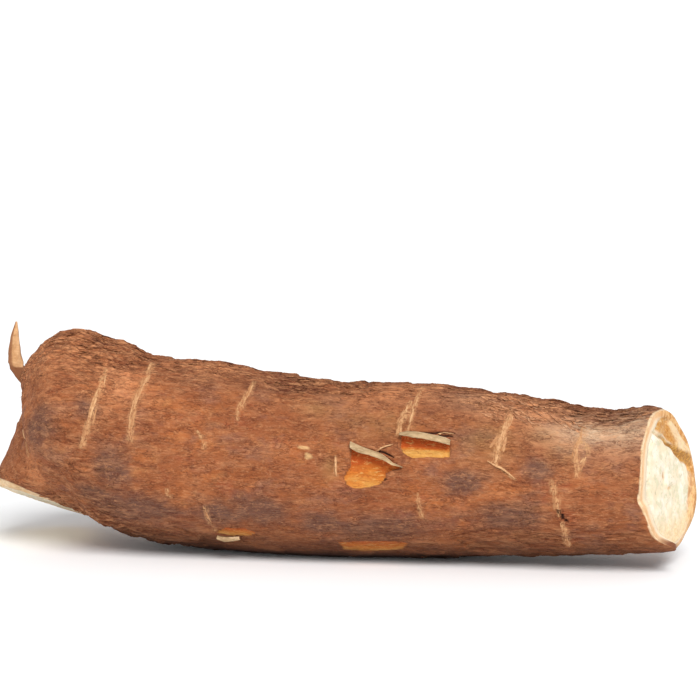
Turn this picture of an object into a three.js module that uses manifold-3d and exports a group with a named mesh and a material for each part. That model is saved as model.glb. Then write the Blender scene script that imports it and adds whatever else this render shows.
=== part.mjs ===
// A cassava root as it is sold: one grown body, lying on its side. Its neck is cut off on the slant at the
// left end, the thin end at the right is hacked across, and the bark is fissured, scarred, nicked and torn as
// on a real root. Millimetres, +Z up, +X towards the thin end, -Y is the side that is seen first. It rests on
// a small worn flat at z = 0.
import * as THREE from "three";
import { mergeVertices } from "three/addons/utils/BufferGeometryUtils.js";
import Module from "manifold-3d";

const wasm = await Module();
wasm.setup();

// Driving dimensions
const SIDES = 72; // facets round the root
const FAN_STEP = 3.7; // ring spacing along the middle where the neck bends
const BODY_STEP = 5.4; // ring spacing along the straight body
const FAN_END = 44; // how far along the bend of the neck reaches
const LUMP = 0.9; // height of the broad unevenness
// The bark's plates where it is roughest
const PLATE = { length: 14, around: 26, tilt: 1.3, fissure: 1.5, seed: 31 };
const PEEL = 2.4; // thickness of the rind that shows as a ring on each cut
// Middle of the finished root's box, on the surface it lies on
const ORIGIN = new THREE.Vector3(-1.3, -1.9, 0);

// Sections of the root, from the neck's cut to the thin end's. Each runs from a low to a high point of the
// outline seen from the side, and side is half its width, as a vector. Along is measured on the middle line.
const STATIONS = [
  { along: 0, low: [-93.4, 9.3], high: [-130.4, 18.6], middle: 5, side: [0, 24, -7.8] },
  { along: 6, low: [-92.7, 9.5], high: [-123.7, 30.7], middle: 4.5, side: [0, 26.4, -6.4] },
  { along: 15, low: [-91.8, 9.9], high: [-116, 53.2], middle: 3.5, side: [0, 29, -3.4] },
  { along: 23, low: [-90.8, 10.2], high: [-115.8, 66], middle: 2, side: [0, 31, -0.6] },
  { along: 33, low: [-89.3, 11.4], high: [-100.6, 78.2], middle: 0, side: [0, 32.8, 0] },
  { along: 44, low: [-83.5, 7.6], high: [-84, 75.2], middle: -1.5, side: [0, 34, 0] },
  { along: 63, low: [-66, 2.5], high: [-66, 69.4], middle: -2.5, side: [0, 33.5, 0] },
  { along: 93, low: [-36, 0.3], high: [-36, 67], middle: -2, side: [0, 32.5, 0] },
  { along: 131, low: [2, -1], high: [2, 61.9], middle: 0, side: [0, 31, 0] },
  { along: 169, low: [40, 0.6], high: [40, 61.2], middle: 1.5, side: [0, 30.5, 0] },
  { along: 195, low: [66, 2.2], high: [66, 57.8], middle: 1.5, side: [0.5, 28.8, 0] },
  { along: 223, low: [94.5, 3.4], high: [94, 53.6], middle: 0.5, side: [3.6, 26.2, 0] },
  { along: 247, low: [121.3, 6], high: [116.8, 54.8], middle: -0.5, side: [8.4, 24.3, 0] },
];
const LENGTH = STATIONS.at(-1).along;
const AXIS_HEIGHT = 36; // of the straight line that the bark's grain follows

// Swellings and hollows of the body: distance along, degrees round from the top towards the front, reach of
// each, height
const BUMPS = [
  { along: 20, round: 50, reach: 9, turn: 24, height: -4 },
  { along: 38, round: 100, reach: 13, turn: 26, height: 1.1 },
  { along: 200, round: 22, reach: 15, turn: 26, height: 1.2 },
  { along: 231, round: 20, reach: 8, turn: 50, height: -0.8 },
  { along: 84, round: 5, reach: 16, turn: 40, height: 1.3 },
  { along: 82, round: 150, reach: 20, turn: 22, height: -1.1 },
  { along: 188, round: 160, reach: 16, turn: 26, height: 1.2 },
  { along: 60, round: 300, reach: 14, turn: 22, height: -1.5 },
  { along: 88, round: 262, reach: 26, turn: 28, height: 2 },
  { along: 148, round: 248, reach: 20, turn: 24, height: -1.6 },
  { along: 206, round: 285, reach: 17, turn: 24, height: 1.5 },
];

const clamp = THREE.MathUtils.clamp;
const smoothstep = THREE.MathUtils.smoothstep; // smoothstep(x, min, max)
const radians = THREE.MathUtils.degToRad;

// Value noise from 0 to 1 on a lattice that repeats every period steps round the root
function hash(i, j, seed) {
  const v = Math.sin(i * 127.1 + j * 311.7 + seed * 74.7) * 43758.5453;
  return v - Math.floor(v);
}
function noise(x, y, period, seed) {
  const i = Math.floor(x);
  const j = Math.floor(y);
  const fx = x - i;
  const fy = y - j;
  const sx = fx * fx * (3 - 2 * fx);
  const sy = fy * fy * (3 - 2 * fy);
  const wrap = (k) => ((k % period) + period) % period;
  const near = THREE.MathUtils.lerp(hash(i, wrap(j), seed), hash(i + 1, wrap(j), seed), sx);
  const far = THREE.MathUtils.lerp(hash(i, wrap(j + 1), seed), hash(i + 1, wrap(j + 1), seed), sx);
  return THREE.MathUtils.lerp(near, far, sy);
}

// Centre, half-height and half-width vectors of the section at a distance along, on a smooth curve through the
// stations
function sectionAt(along) {
  const rows = STATIONS.map((s) => [...s.low, ...s.high, s.middle, ...s.side]);
  const last = STATIONS.length - 1;
  const i = clamp(STATIONS.findLastIndex((s) => s.along <= along), 0, last - 1);
  const knot = (k) => STATIONS[k].along;
  const slope = (k, c) => {
    if (k === 0) return (rows[1][c] - rows[0][c]) / (knot(1) - knot(0));
    if (k === last) return (rows[last][c] - rows[last - 1][c]) / (knot(last) - knot(last - 1));
    const before = knot(k) - knot(k - 1);
    const after = knot(k + 1) - knot(k);
    const rise = (rows[k][c] - rows[k - 1][c]) / before;
    const next = (rows[k + 1][c] - rows[k][c]) / after;
    return (rise * after + next * before) / (before + after);
  };
  const gap = knot(i + 1) - knot(i);
  const t = (along - knot(i)) / gap;
  const v = rows[i].map((a, c) => {
    const b = rows[i + 1][c];
    const ease = t * t * (3 - 2 * t);
    const leave = gap * slope(i, c) * t * (1 - t) * (1 - t);
    const arrive = gap * slope(i + 1, c) * t * t * (t - 1);
    return a * (1 - ease) + b * ease + leave + arrive;
  });
  const low = new THREE.Vector3(v[0], v[4], v[1]);
  const high = new THREE.Vector3(v[2], v[4], v[3]);
  return {
    centre: low.clone().add(high).multiplyScalar(0.5),
    up: high.clone().sub(low).multiplyScalar(0.5),
    side: new THREE.Vector3(v[5], v[6], v[7]),
  };
}

// How rough the bark is, from 0 to 1: most on top and underneath, least on the front, and patchy behind
function roughness(x, turn) {
  const front = Math.exp(-(((turn - 0.23) / 0.1) ** 2));
  const patch = noise(x / 45, turn * 5, 5, 9);
  return clamp(0.75 + 0.5 * patch - 0.6 * front, 0, 1);
}

// 1 where the root has worn flat underneath, fading to 0
function wornFlat(x, turn) {
  const below = 1 - smoothstep(Math.abs(turn - 0.5), 0.05, 0.1);
  return below * smoothstep(x, -58, -35) * (1 - smoothstep(x, 20, 40));
}

// Bark plates drawn out along the grain, each tilted its own way, with a fissure between neighbours
function barkPlates(x, turn) {
  const u = x / PLATE.length;
  const v = turn * PLATE.around;
  let nearest = { distance: Infinity };
  let second = Infinity;
  for (let i = Math.floor(u) - 1; i <= Math.floor(u) + 1; i++) {
    for (let j = Math.floor(v) - 1; j <= Math.floor(v) + 1; j++) {
      const row = (j + PLATE.around) % PLATE.around;
      const du = u - i - hash(i, row, PLATE.seed);
      const dv = v - j - hash(i, row, PLATE.seed + 1);
      const distance = Math.hypot(du, dv);
      if (distance < nearest.distance) {
        second = nearest.distance;
        nearest = { distance, du, tilt: hash(i, row, PLATE.seed + 2) };
      } else if (distance < second) second = distance;
    }
  }
  const fissure = 1 - smoothstep(second - nearest.distance, 0, 0.4);
  return PLATE.tilt * (nearest.du + 0.7 * nearest.tilt - 0.6) - PLATE.fissure * fissure;
}

// Height of the surface over the plain section, in millimetres, at a point of that section
function relief(point, along, round) {
  const turn = (1 + Math.atan2(-point.y, point.z - AXIS_HEIGHT) / (2 * Math.PI)) % 1; // 0 on top, 1/4 in front
  const fromAxis = Math.hypot(point.y, point.z - AXIS_HEIGHT);
  let height = LUMP * (2 * noise(point.x / 30, turn * 7, 7, 1) - 1);
  for (const b of BUMPS) {
    const gap = Math.atan2(Math.sin(round - radians(b.round)), Math.cos(round - radians(b.round)));
    height += b.height * Math.exp(-(((along - b.along) / b.reach) ** 2) - (gap / radians(b.turn)) ** 2);
  }
  const inner = smoothstep(Math.abs(round - Math.PI), radians(30), radians(75));
  const even = (1 - wornFlat(point.x, turn)) * smoothstep(fromAxis, 4, 20);
  const calm = Math.max(inner, smoothstep(along, 30, 55)) * even;
  const rims = smoothstep(along, 0, 8) * (1 - smoothstep(along, LENGTH - 6, LENGTH));
  return (height + barkPlates(point.x, turn) * roughness(point.x, turn)) * calm * (0.25 + 0.75 * rims);
}

// A point of the bark, raised over it by lift
function skin(along, round, lift = 0) {
  const { centre, up, side } = sectionAt(along);
  const spoke = up.clone().multiplyScalar(Math.cos(round)).addScaledVector(side, -Math.sin(round));
  const plain = centre.clone().add(spoke);
  return plain.addScaledVector(spoke.normalize(), relief(plain, along, round) + lift);
}

// How far a cut stands out at a share of the way from its middle to its rim
const CUTS = {
  neck(share, round) {
    const wave = 0.7 * (noise(share * 3, (round / (2 * Math.PI)) * 9, 9, 11) - 0.5);
    const rim = 0.5 * (noise(0.5, (round / (2 * Math.PI)) * 13, 13, 12) - 0.5);
    return THREE.MathUtils.lerp(wave, rim, smoothstep(share, 0.8, 1)) - 0.5 * (1 - share);
  },
  thinEnd(share, round) {
    const across = -share * Math.sin(round); // -1 at the front rim, 1 at the back
    const upward = share * Math.cos(round);
    const past = 0.453 * across + 0.89 * upward - 0.44; // over 0 at the top back, where the flesh broke away
    const broken = smoothstep(past, 0, 0.5);
    const crevice = Math.exp(-((past / 0.07) ** 2)) * smoothstep(across, -0.4, 0.3);
    const rough = 1.6 * (noise(share * 4, (round / (2 * Math.PI)) * 11, 11, 13) - 0.5);
    const turned = (from, to) => smoothstep(round, radians(from), radians(to));
    const front = 1.1 * turned(99, 107) - turned(80, 99) - 0.9;
    const back = 1.3 * turned(205, 235) - turned(240, 270);
    const tongue = 4.6 * Math.exp(-(((round - radians(154)) / radians(11)) ** 2)); // torn past the cut
    const ragged = 0.9 * (noise(0.5, (round / (2 * Math.PI)) * 17, 17, 14) - 0.5);
    const flesh = 0.6 + rough - 3.4 * broken - 2 * crevice;
    const rim = front + back + tongue + ragged - 1.2 * broken;
    return THREE.MathUtils.lerp(flesh, rim, smoothstep(share, 0.84, 0.95));
  },
};

// The grown body: rings of bark from cut to cut, closed by the two cut faces
function bodyGeometry() {
  const fan = Math.round(FAN_END / FAN_STEP);
  const body = Math.round((LENGTH - FAN_END) / BODY_STEP);
  const stops = [];
  for (let k = 0; k < fan; k++) stops.push((FAN_END * k) / fan);
  for (let k = 0; k <= body; k++) stops.push(FAN_END + ((LENGTH - FAN_END) * k) / body);

  const rings = [];
  const round = (j) => (2 * Math.PI * j) / SIDES;
  const cutRing = (along, share, cut, outward) =>
    Array.from({ length: SIDES }, (_, j) => {
      const { centre, up, side } = sectionAt(along);
      const normal = side.clone().cross(up).normalize().multiplyScalar(outward);
      const rim = skin(along, round(j)).sub(centre);
      return centre.addScaledVector(rim, share).addScaledVector(normal, cut(share, round(j)));
    });
  const radius = sectionAt(LENGTH).up.length();
  const rind = 1 - PEEL / radius;
  const shares = [0.28, 0.56, 0.78, rind];
  for (const share of shares) rings.push(cutRing(0, share, CUTS.neck, -1));
  for (const along of stops) {
    if (along === 0) rings.push(cutRing(0, 1, CUTS.neck, -1));
    else if (along === LENGTH) rings.push(cutRing(LENGTH, 1, CUTS.thinEnd, 1));
    else rings.push(Array.from({ length: SIDES }, (_, j) => skin(along, round(j))));
  }
  for (const share of shares.toReversed()) rings.push(cutRing(LENGTH, share, CUTS.thinEnd, 1));
  return loft(rings);
}

// A closed surface through rings of equal counts, its two ends closed by fans round their middles
function loft(rings) {
  const count = rings[0].length;
  const points = rings.flat();
  const middle = (ring) => ring.reduce((sum, p) => sum.add(p), new THREE.Vector3()).divideScalar(count);
  const first = points.push(middle(rings[0])) - 1;
  const last = points.push(middle(rings.at(-1))) - 1;
  const faces = [];
  for (let j = 0; j < count; j++) {
    const next = (j + 1) % count;
    for (let k = 0; k < rings.length - 1; k++) {
      const a = k * count;
      const b = a + count;
      faces.push([a + j, b + j, b + next], [a + j, b + next, a + next]);
    }
    const end = (rings.length - 1) * count;
    faces.push([first, j, next], [last, end + next, end + j]);
  }
  const volume = faces.reduce((sum, [a, b, c]) => sum + points[a].clone().cross(points[b]).dot(points[c]), 0);
  if (volume < 0) faces.forEach((f) => f.reverse());
  const geometry = new THREE.BufferGeometry().setFromPoints(points);
  return geometry.setIndex(faces.flat());
}

// The geometry as a solid that can be joined and cut
function solid(geometry) {
  const bare = geometry.clone();
  bare.deleteAttribute("normal");
  bare.deleteAttribute("uv");
  const merged = mergeVertices(bare, 1e-4);
  const mesh = new wasm.Mesh({
    numProp: 3,
    vertProperties: new Float32Array(merged.attributes.position.array),
    triVerts: new Uint32Array(merged.index.array),
  });
  return new wasm.Manifold(mesh);
}

// Pale corky scars that run round the root: ends as [along, degrees round], widest width, height
const SCARS = [
  { from: [51, 38], to: [49.5, 86], width: 2.4, height: 0.5 },
  { from: [68, 17], to: [64.5, 74], width: 2.4, height: 0.5 },
  { from: [104, 25], to: [101.5, 56], width: 2.4, height: 0.5 },
  { from: [161.5, 11], to: [159, 52], width: 2.4, height: 0.5 },
  { from: [158.5, 26], to: [156.5, 54], width: 2.4, height: 0.5 },
  { from: [194, 32], to: [191.5, 74], width: 3.6, height: 0.5 },
  { from: [220.5, 27], to: [219, 79], width: 3.8, height: 0.5 },
  { from: [211.5, 84], to: [215.5, 143], width: 2.2, height: 0.5 },
  { from: [164, 95], to: [165.5, 112], width: 2.4, height: 0.5 },
  { from: [91, 110], to: [92.5, 131], width: 2.4, height: 0.5 },
  { from: [189.5, 73], to: [197, 82], width: 1.8, height: 0.5 },
  { from: [136.6, 74], to: [136.6, 86], width: 2.4, height: 0.5 },
  { from: [19, 64], to: [13.5, 79], width: 1.8, height: 0.5 },
];
const HIDDEN_SCARS = { count: 8, firstAlong: 40, lastAlong: 232, firstRound: 205, lastRound: 335, seed: 21 };

function scar({ from, to, width, height }) {
  const steps = Math.max(3, Math.round(Math.abs(to[1] - from[1]) / 9));
  const sections = [];
  for (let k = 0; k <= steps; k++) {
    const t = k / steps;
    const along = THREE.MathUtils.lerp(from[0], to[0], t);
    const round = radians(THREE.MathUtils.lerp(from[1], to[1], t));
    const swell = 0.25 + 0.75 * Math.sin(Math.PI * clamp(t, 0.02, 0.98));
    const half = (width / 2) * swell;
    const rise = height * swell;
    sections.push([
      skin(along - half, round, -0.9),
      skin(along - 0.45 * half, round, rise),
      skin(along + 0.45 * half, round, rise),
      skin(along + half, round, -0.9),
    ]);
  }
  return loft(sections);
}

// Scars of the hidden side, spread evenly with a seeded draw for place, reach and width
function hiddenScars() {
  const { count, firstAlong, lastAlong, firstRound, lastRound, seed } = HIDDEN_SCARS;
  return Array.from({ length: count }, (_, k) => {
    const along = THREE.MathUtils.lerp(firstAlong, lastAlong, (k + 0.7 * hash(k, 1, seed)) / count);
    const start = THREE.MathUtils.lerp(firstRound, lastRound - 60, hash(k, 2, seed));
    const reach = 24 + 42 * hash(k, 3, seed);
    const width = 1.5 + 1.6 * hash(k, 4, seed);
    const to = [along + 5 * (hash(k, 5, seed) - 0.5), start + reach];
    return scar({ from: [along, start], to, width, height: 0.5 });
  });
}

// Nicks where the rind was cut away, as outlines of [along, degrees round]. A flap of the rind still stands
// out over the upper edge of some, like an awning, from one end of it to the other.
const NICKS = [
  {
    outline: [
      [141.5, 66], [150, 70.5], [159, 79.8], [154, 83.5],
      [153, 89.5], [146, 93.4], [140.5, 91], [141, 80],
    ],
    depth: 1.3,
    flap: { from: [141, 64.5], to: [159.8, 80.5], stand: 2.2, thick: 1.2 },
  },
  {
    outline: [
      [158, 58.5], [167, 58.8], [175, 61], [175.3, 66.5],
      [175.3, 72.3], [167, 73.6], [162, 73.6], [159, 69.5],
    ],
    depth: 1.4,
    flap: { from: [157.6, 57], to: [175.8, 61], stand: 2.2, thick: 1.2 },
  },
  { outline: [[134.9, 134], [148, 132.5], [160, 134.5], [164.5, 137], [158, 143], [136, 143]], depth: 0.9 },
  {
    outline: [[92, 136], [96.5, 129.5], [104, 128.5], [108, 131.5], [105, 137.5], [97, 141]],
    depth: 0.9,
    flap: { from: [91, 136], to: [103, 135.5], stand: 1.4, thick: 1.1 },
  },
  {
    outline: [[116, 238], [126, 236], [134, 241], [133, 250], [122, 252], [115, 247]],
    depth: 1.3,
    flap: { from: [115, 252], to: [134, 251], stand: 2.2, thick: 1.4, down: -1 },
  },
  { outline: [[182, 300], [192, 297], [198, 303], [193, 309], [184, 308]], depth: 1.1 },
];

function nick({ outline, depth }) {
  const ring = (lift) => outline.map(([along, degrees]) => skin(along, radians(degrees), lift));
  return loft([ring(-depth), ring(4)]);
}

function flap({ from, to, stand, thick, down = 1 }) {
  const steps = 5;
  const sections = [];
  for (let k = 0; k <= steps; k++) {
    const t = k / steps;
    const along = THREE.MathUtils.lerp(from[0], to[0], t);
    const round = radians(THREE.MathUtils.lerp(from[1], to[1], t));
    const swell = 0.35 + 0.65 * Math.sin(Math.PI * clamp(t * 0.9 + 0.08, 0, 1));
    const radius = sectionAt(along).up.length();
    const turn = (mm) => round + (down * mm) / radius;
    sections.push([
      skin(along, turn(-1.4 * thick), -1),
      skin(along, turn(0.35 * thick), -1.2),
      skin(along, turn(0.9 * stand), 0.85 * stand * swell),
      skin(along, turn(0.9 * stand - thick), 0.85 * stand * swell + 0.5 * thick),
    ]);
  }
  return loft(sections);
}

// Knobs where a side root broke off: [along, degrees round, radius]
const KNOBS = [[124.7, 72, 2], [75, 215, 2.4], [176, 330, 2.2], [220, 235, 1.8], [108, 318, 1.7]];

function knob([along, degrees, radius]) {
  const middle = skin(along, radians(degrees), -0.2 * radius);
  return new THREE.IcosahedronGeometry(radius, 0).translate(...middle);
}

// The torn strip of rind that stands up at the neck's shoulder: middle line from its rooted foot to its tip,
// with the width and thickness there. It is broad across the view from the front.
const SPLINTER = [
  { at: [-112.5, 1, 53.5], width: 3, thick: 2.4 },
  { at: [-117.4, 0.6, 60], width: 4.8, thick: 2.8 },
  { at: [-119.9, 0.1, 64], width: 5.8, thick: 2.8 },
  { at: [-120.8, -0.3, 70], width: 4.8, thick: 2.2 },
  { at: [-120.6, -0.3, 76], width: 3.4, thick: 1.8 },
  { at: [-120, 0, 81.8], width: 1, thick: 0.9 },
];

// Its cross-section, as shares of the width and the thickness
const TORN_OUTLINE = [[-0.5, 0.1], [-0.3, 0.5], [0.35, 0.35], [0.5, 0], [0.2, -0.4], [-0.35, -0.3]];

function splinter() {
  const broad = new THREE.Vector3(0.95, 0.3, 0).normalize();
  const deep = new THREE.Vector3(0.3, -0.95, 0).normalize();
  const sections = SPLINTER.map(({ at, width, thick }) => {
    const middle = new THREE.Vector3(...at);
    const corner = (a, b) => middle.clone().addScaledVector(broad, a * width).addScaledVector(deep, b * thick);
    return TORN_OUTLINE.map(([a, b]) => corner(a, b));
  });
  return loft(sections);
}

// Everything below the surface that the root lies on, which leaves its worn flat
function below() {
  return new THREE.BoxGeometry(400, 200, 20).translate(0, 0, -10);
}

// The outermost body: a loose scrap is dropped, and a hollow that joining has sealed is filled
function outerBody(whole) {
  return whole.decompose().reduce((most, body) => (body.volume() > most.volume() ? body : most));
}

const raised = [...SCARS.map(scar), ...hiddenScars(), ...KNOBS.map(knob), splinter()];
let root = solid(bodyGeometry());
for (const piece of NICKS) root = root.subtract(solid(nick(piece)));
for (const piece of NICKS.filter((n) => n.flap)) root = root.add(solid(flap(piece.flap)));
for (const geometry of raised) root = root.add(solid(geometry));
root = outerBody(root.subtract(solid(below())).simplify(0.08));

const made = root.getMesh();
const geometry = new THREE.BufferGeometry();
geometry.setAttribute("position", new THREE.BufferAttribute(made.vertProperties, 3));
geometry.setIndex(new THREE.BufferAttribute(made.triVerts, 1));
geometry.translate(-ORIGIN.x, -ORIGIN.y, -ORIGIN.z);
geometry.computeVertexNormals();

const look = { color: 0xa66b45, roughness: 0.85, metalness: 0, flatShading: true };
const bark = new THREE.MeshStandardMaterial(look);
const cassavaRoot = new THREE.Mesh(geometry, bark);
cassavaRoot.name = "cassava_root";

const group = new THREE.Group();
group.add(cassavaRoot);
export default group;
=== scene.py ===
"""The looks of a cassava root: fissured bark with scars, nicks and loose flakes, and its two cut faces, built
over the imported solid. Lengths in the functions are millimetres, in the solid's form. Meshes are in metres."""

import math

import bpy
import numpy as np
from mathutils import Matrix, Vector


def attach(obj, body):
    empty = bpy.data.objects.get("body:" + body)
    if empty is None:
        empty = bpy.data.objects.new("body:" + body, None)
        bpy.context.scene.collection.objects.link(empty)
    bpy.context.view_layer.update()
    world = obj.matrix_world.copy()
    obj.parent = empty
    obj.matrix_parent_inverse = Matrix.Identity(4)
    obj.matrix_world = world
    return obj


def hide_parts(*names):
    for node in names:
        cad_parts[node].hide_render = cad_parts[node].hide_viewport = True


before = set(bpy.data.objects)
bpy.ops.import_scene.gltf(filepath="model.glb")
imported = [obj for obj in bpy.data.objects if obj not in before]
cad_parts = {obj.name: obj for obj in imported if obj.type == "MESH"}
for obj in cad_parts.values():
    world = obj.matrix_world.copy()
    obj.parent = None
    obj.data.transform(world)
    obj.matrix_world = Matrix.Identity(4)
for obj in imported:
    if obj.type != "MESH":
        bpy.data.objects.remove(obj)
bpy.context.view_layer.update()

# The form, the same as the solid's. A section runs from a low to a high point of the outline, and side is
# half its width.
ORIGIN = np.array([-1.3, -1.9, 0.0])
STATIONS = np.array(
    [
        # along, low x, low z, high x, high z, middle y, side x, side y, side z
        [0, -93.4, 9.3, -130.4, 18.6, 5, 0, 24, -7.8],
        [6, -92.7, 9.5, -123.7, 30.7, 4.5, 0, 26.4, -6.4],
        [15, -91.8, 9.9, -116, 53.2, 3.5, 0, 29, -3.4],
        [23, -90.8, 10.2, -115.8, 66, 2, 0, 31, -0.6],
        [33, -89.3, 11.4, -100.6, 78.2, 0, 0, 32.8, 0],
        [44, -83.5, 7.6, -84, 75.2, -1.5, 0, 34, 0],
        [63, -66, 2.5, -66, 69.4, -2.5, 0, 33.5, 0],
        [93, -36, 0.3, -36, 67, -2, 0, 32.5, 0],
        [131, 2, -1, 2, 61.9, 0, 0, 31, 0],
        [169, 40, 0.6, 40, 61.2, 1.5, 0, 30.5, 0],
        [195, 66, 2.2, 66, 57.8, 1.5, 0.5, 28.8, 0],
        [223, 94.5, 3.4, 94, 53.6, 0.5, 3.6, 26.2, 0],
        [247, 121.3, 6, 116.8, 54.8, -0.5, 8.4, 24.3, 0],
    ]
)
LENGTH = STATIONS[-1, 0]
AXIS_HEIGHT = 36.0
LUMP = 0.9
PLATE = {"length": 14, "around": 26, "tilt": 1.3, "fissure": 1.5, "seed": 31}
# Swellings and hollows: along, degrees round, reach, turn, height
BUMPS = [
    (20, 50, 9, 24, -4),
    (38, 100, 13, 26, 1.1),
    (200, 22, 15, 26, 1.2),
    (231, 20, 8, 50, -0.8),
    (84, 5, 16, 40, 1.3),
    (82, 150, 20, 22, -1.1),
    (188, 160, 16, 26, 1.2),
    (60, 300, 14, 22, -1.5),
    (88, 262, 26, 28, 2),
    (148, 248, 20, 24, -1.6),
    (206, 285, 17, 24, 1.5),
]
# Pale corky scars round the root: places as (along, degrees round) down each scar, half width in mm
SCARS = [
    ([(50.6, 37), (51.1, 48), (50.6, 57.6), (50, 65.5), (49.2, 75.2), (48.1, 83.4), (47.3, 89)], 1.25),
    ([(66.2, 17), (66.8, 32), (66.2, 41), (65.7, 50.5), (65.4, 61), (65.4, 76)], 1.2),
    ([(103.9, 24), (103.6, 33.7), (102.8, 42.5), (101.9, 48.8), (101.7, 56)], 0.95),
    ([(162.4, 12), (161.8, 25.5), (161.6, 35), (161.3, 43.4), (161, 49.6), (160.5, 57)], 0.75),
    ([(159.8, 32), (159.1, 42), (157.6, 50), (157.2, 58.4)], 1.5),
    ([(194.2, 31), (193.7, 41.4), (192.9, 50.2), (191.8, 60.4), (191.2, 67.8), (191, 73)], 1.9),
    ([(189.9, 73.2), (193.7, 77.7), (197.3, 83)], 0.6),
    ([(220.6, 31), (220.3, 42.5), (219, 53.9), (219.6, 64.4), (220.9, 78)], 1.2),
    ([(220.6, 46), (223.2, 51), (223.8, 58), (222.4, 65), (221, 72)], 0.8),
    ([(211.4, 82), (212.2, 88), (213.1, 97), (214, 107.8)], 1.25),
    ([(214.9, 114), (215.7, 123.7), (215.9, 139)], 1.15),
    ([(164.8, 97), (165.1, 104.1), (165.9, 113)], 0.8),
    ([(90.9, 112), (91.5, 121.1), (92.3, 133)], 0.75),
    ([(136.6, 73.5), (137.1, 87)], 0.4),
    ([(16.8, 62), (18, 72), (15.1, 77.4), (13.7, 85)], 0.9),
    ([(88, 66), (90.5, 71), (91.5, 77)], 0.5),
    ([(78.6, 103), (79.6, 110)], 0.6),
]
HIDDEN_SCARS = {"count": 8, "along": (40, 232), "round": (205, 335), "seed": 21}
# Nicks through the rind: outline as (along, degrees round), depth in mm, tone (0 red, 1 ochre) at its top and
# the tone's rise to the bottom, how far its edge blends in mm
# The red at the top of a nick under a flap is partly its own colour and partly painted shade from the flap
NICKS = [
    (
        [
            (141.5, 66), (142, 79), (140.4, 83.7), (139.8, 87.4), (140.7, 91), (142.9, 93.6), (147, 92.9),
            (151.7, 91.2), (153.4, 88), (153.8, 84), (155.4, 82.5), (159.1, 80), (155.2, 75), (150.3, 70),
            (145.3, 67),
        ],
        1.3, (-0.1, 1), 0.3,
    ),
    (
        [
            (158, 59), (158.3, 66.4), (159.4, 70.3), (161, 72.6), (162.7, 74), (167, 73.5), (175.3, 72.4),
            (175.2, 64), (174.7, 60.7), (169.2, 59), (163.5, 58),
        ],
        1.4, (-1.75, 4), 0.3,
    ),
    (
        [(134.5, 134), (146, 131.5), (156, 131.5), (161.5, 136), (158, 148), (146, 149), (136, 147)],
        0.6, (0.12, 0.9), 2.0,
    ),
    ([(92, 136), (96.5, 129.5), (104, 128.5), (108, 131.5), (105, 136), (99, 138)], 0.6, (0.1, 1), 0.3),
    (
        [(117, 241), (123, 236), (129, 238), (134, 243), (133, 249), (122, 252), (115, 248)],
        1.3, (0.2, 1), 0.3,
    ),
    (
        [(183, 302), (187, 297.5), (192, 299), (197, 302), (196, 306), (190, 307), (186, 311)],
        0.9, (0.2, 1), 0.3,
    ),
]
# Strips of rind curled out of the nicks: attached and free edges as (along, degrees round), how far the free
# edge stands in mm, seed
FLAPS = [
    (
        [
            (141.2, 63.6), (144.8, 66.6), (148.1, 68.8), (150.3, 70.2),
            (152.5, 71.9), (154.4, 74.4), (156.1, 77), (159.6, 79.8),
        ],
        [
            (141.6, 68.9), (143.8, 71.2), (147.7, 72.7), (150.3, 74.3),
            (152.7, 75.4), (154.6, 77.3), (156.4, 79.1), (159.8, 80.3),
        ],
        1.5, 3,
    ),
    (
        [
            (157.8, 57.6), (160.5, 56.6), (163.2, 56.6), (165.9, 57.2),
            (169.2, 58.2), (171.7, 58.8), (173.6, 59.5), (175.3, 61),
        ],
        [
            (157.9, 60.3), (160.7, 61.2), (163.5, 62.2), (166.2, 62.6),
            (169, 63.4), (171.7, 63.8), (174, 64.4), (175.4, 64.9),
        ],
        1.4, 4,
    ),
    (
        [(93, 137), (95.5, 137.8), (98.5, 137), (101, 135.8)],
        [(92.8, 138.4), (95.5, 140.2), (98.6, 138.8), (101.4, 136.8)],
        0.35, 5,
    ),
    (
        [(115.5, 250.5), (119, 252.8), (123, 252.2), (127, 253.2), (130.5, 251), (134, 248)],
        [(116, 249), (119, 248.6), (123, 246.4), (127, 247.8), (130.5, 247.4), (133.8, 247)],
        0.9, 6,
    ),
]
# Heights in mm of the bark's relief
RELIEF = {
    "layer": 0.3, "sheet": 0.34, "plate": 0.45, "fissure": 0.3, "crack": 0.7, "small": 0.28, "wrinkle": 0.42,
    "scar": 0.3, "scuff": 0.45, "slit": 0.8, "bare": 0.7, "peeled": 0.3,
}
# Slits in the bark: places as (along, degrees round)
SLITS = [
    [(150.5, 69.2), (153.4, 70.8), (156.2, 73.6)],
    [(165, 56.3), (169, 56.5), (172, 55.6), (176.3, 55.2)],
    [(171.5, 57.8), (176, 57.2)],
    [(213.2, 103), (214.6, 108), (216, 113.5)],
    [(213.8, 103.5), (215.3, 108.5), (216.5, 113)],
    [(150, 88.8), (154, 87.6)],
]
# Fibres that stand off the nicks' edges, off a scar and, the last one, off the neck
FIBRES = [
    [(150, 69.6), (153, 67.2), (156, 65.3)],
    [(170.6, 57.2), (173.4, 56), (176.2, 55.4)],
    [(188, 72.5), (193.7, 77.3), (198, 83)],
    [(136.7, 74), (137, 80), (137.2, 86)],
    [(16.8, 62), (18, 70), (16.6, 76)],
]
# Small pale scuffs: along, degrees round, reach along, reach round in mm
SCUFFS = [
    (127.2, 74.3, 1.5, 1.4),
    (125.6, 69.6, 2.3, 0.7),
    (75, 215, 2.4, 2.4),
    (176, 330, 2.2, 2.2),
    (220, 235, 2, 2),
    (108, 318, 1.8, 1.8),
]
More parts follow.
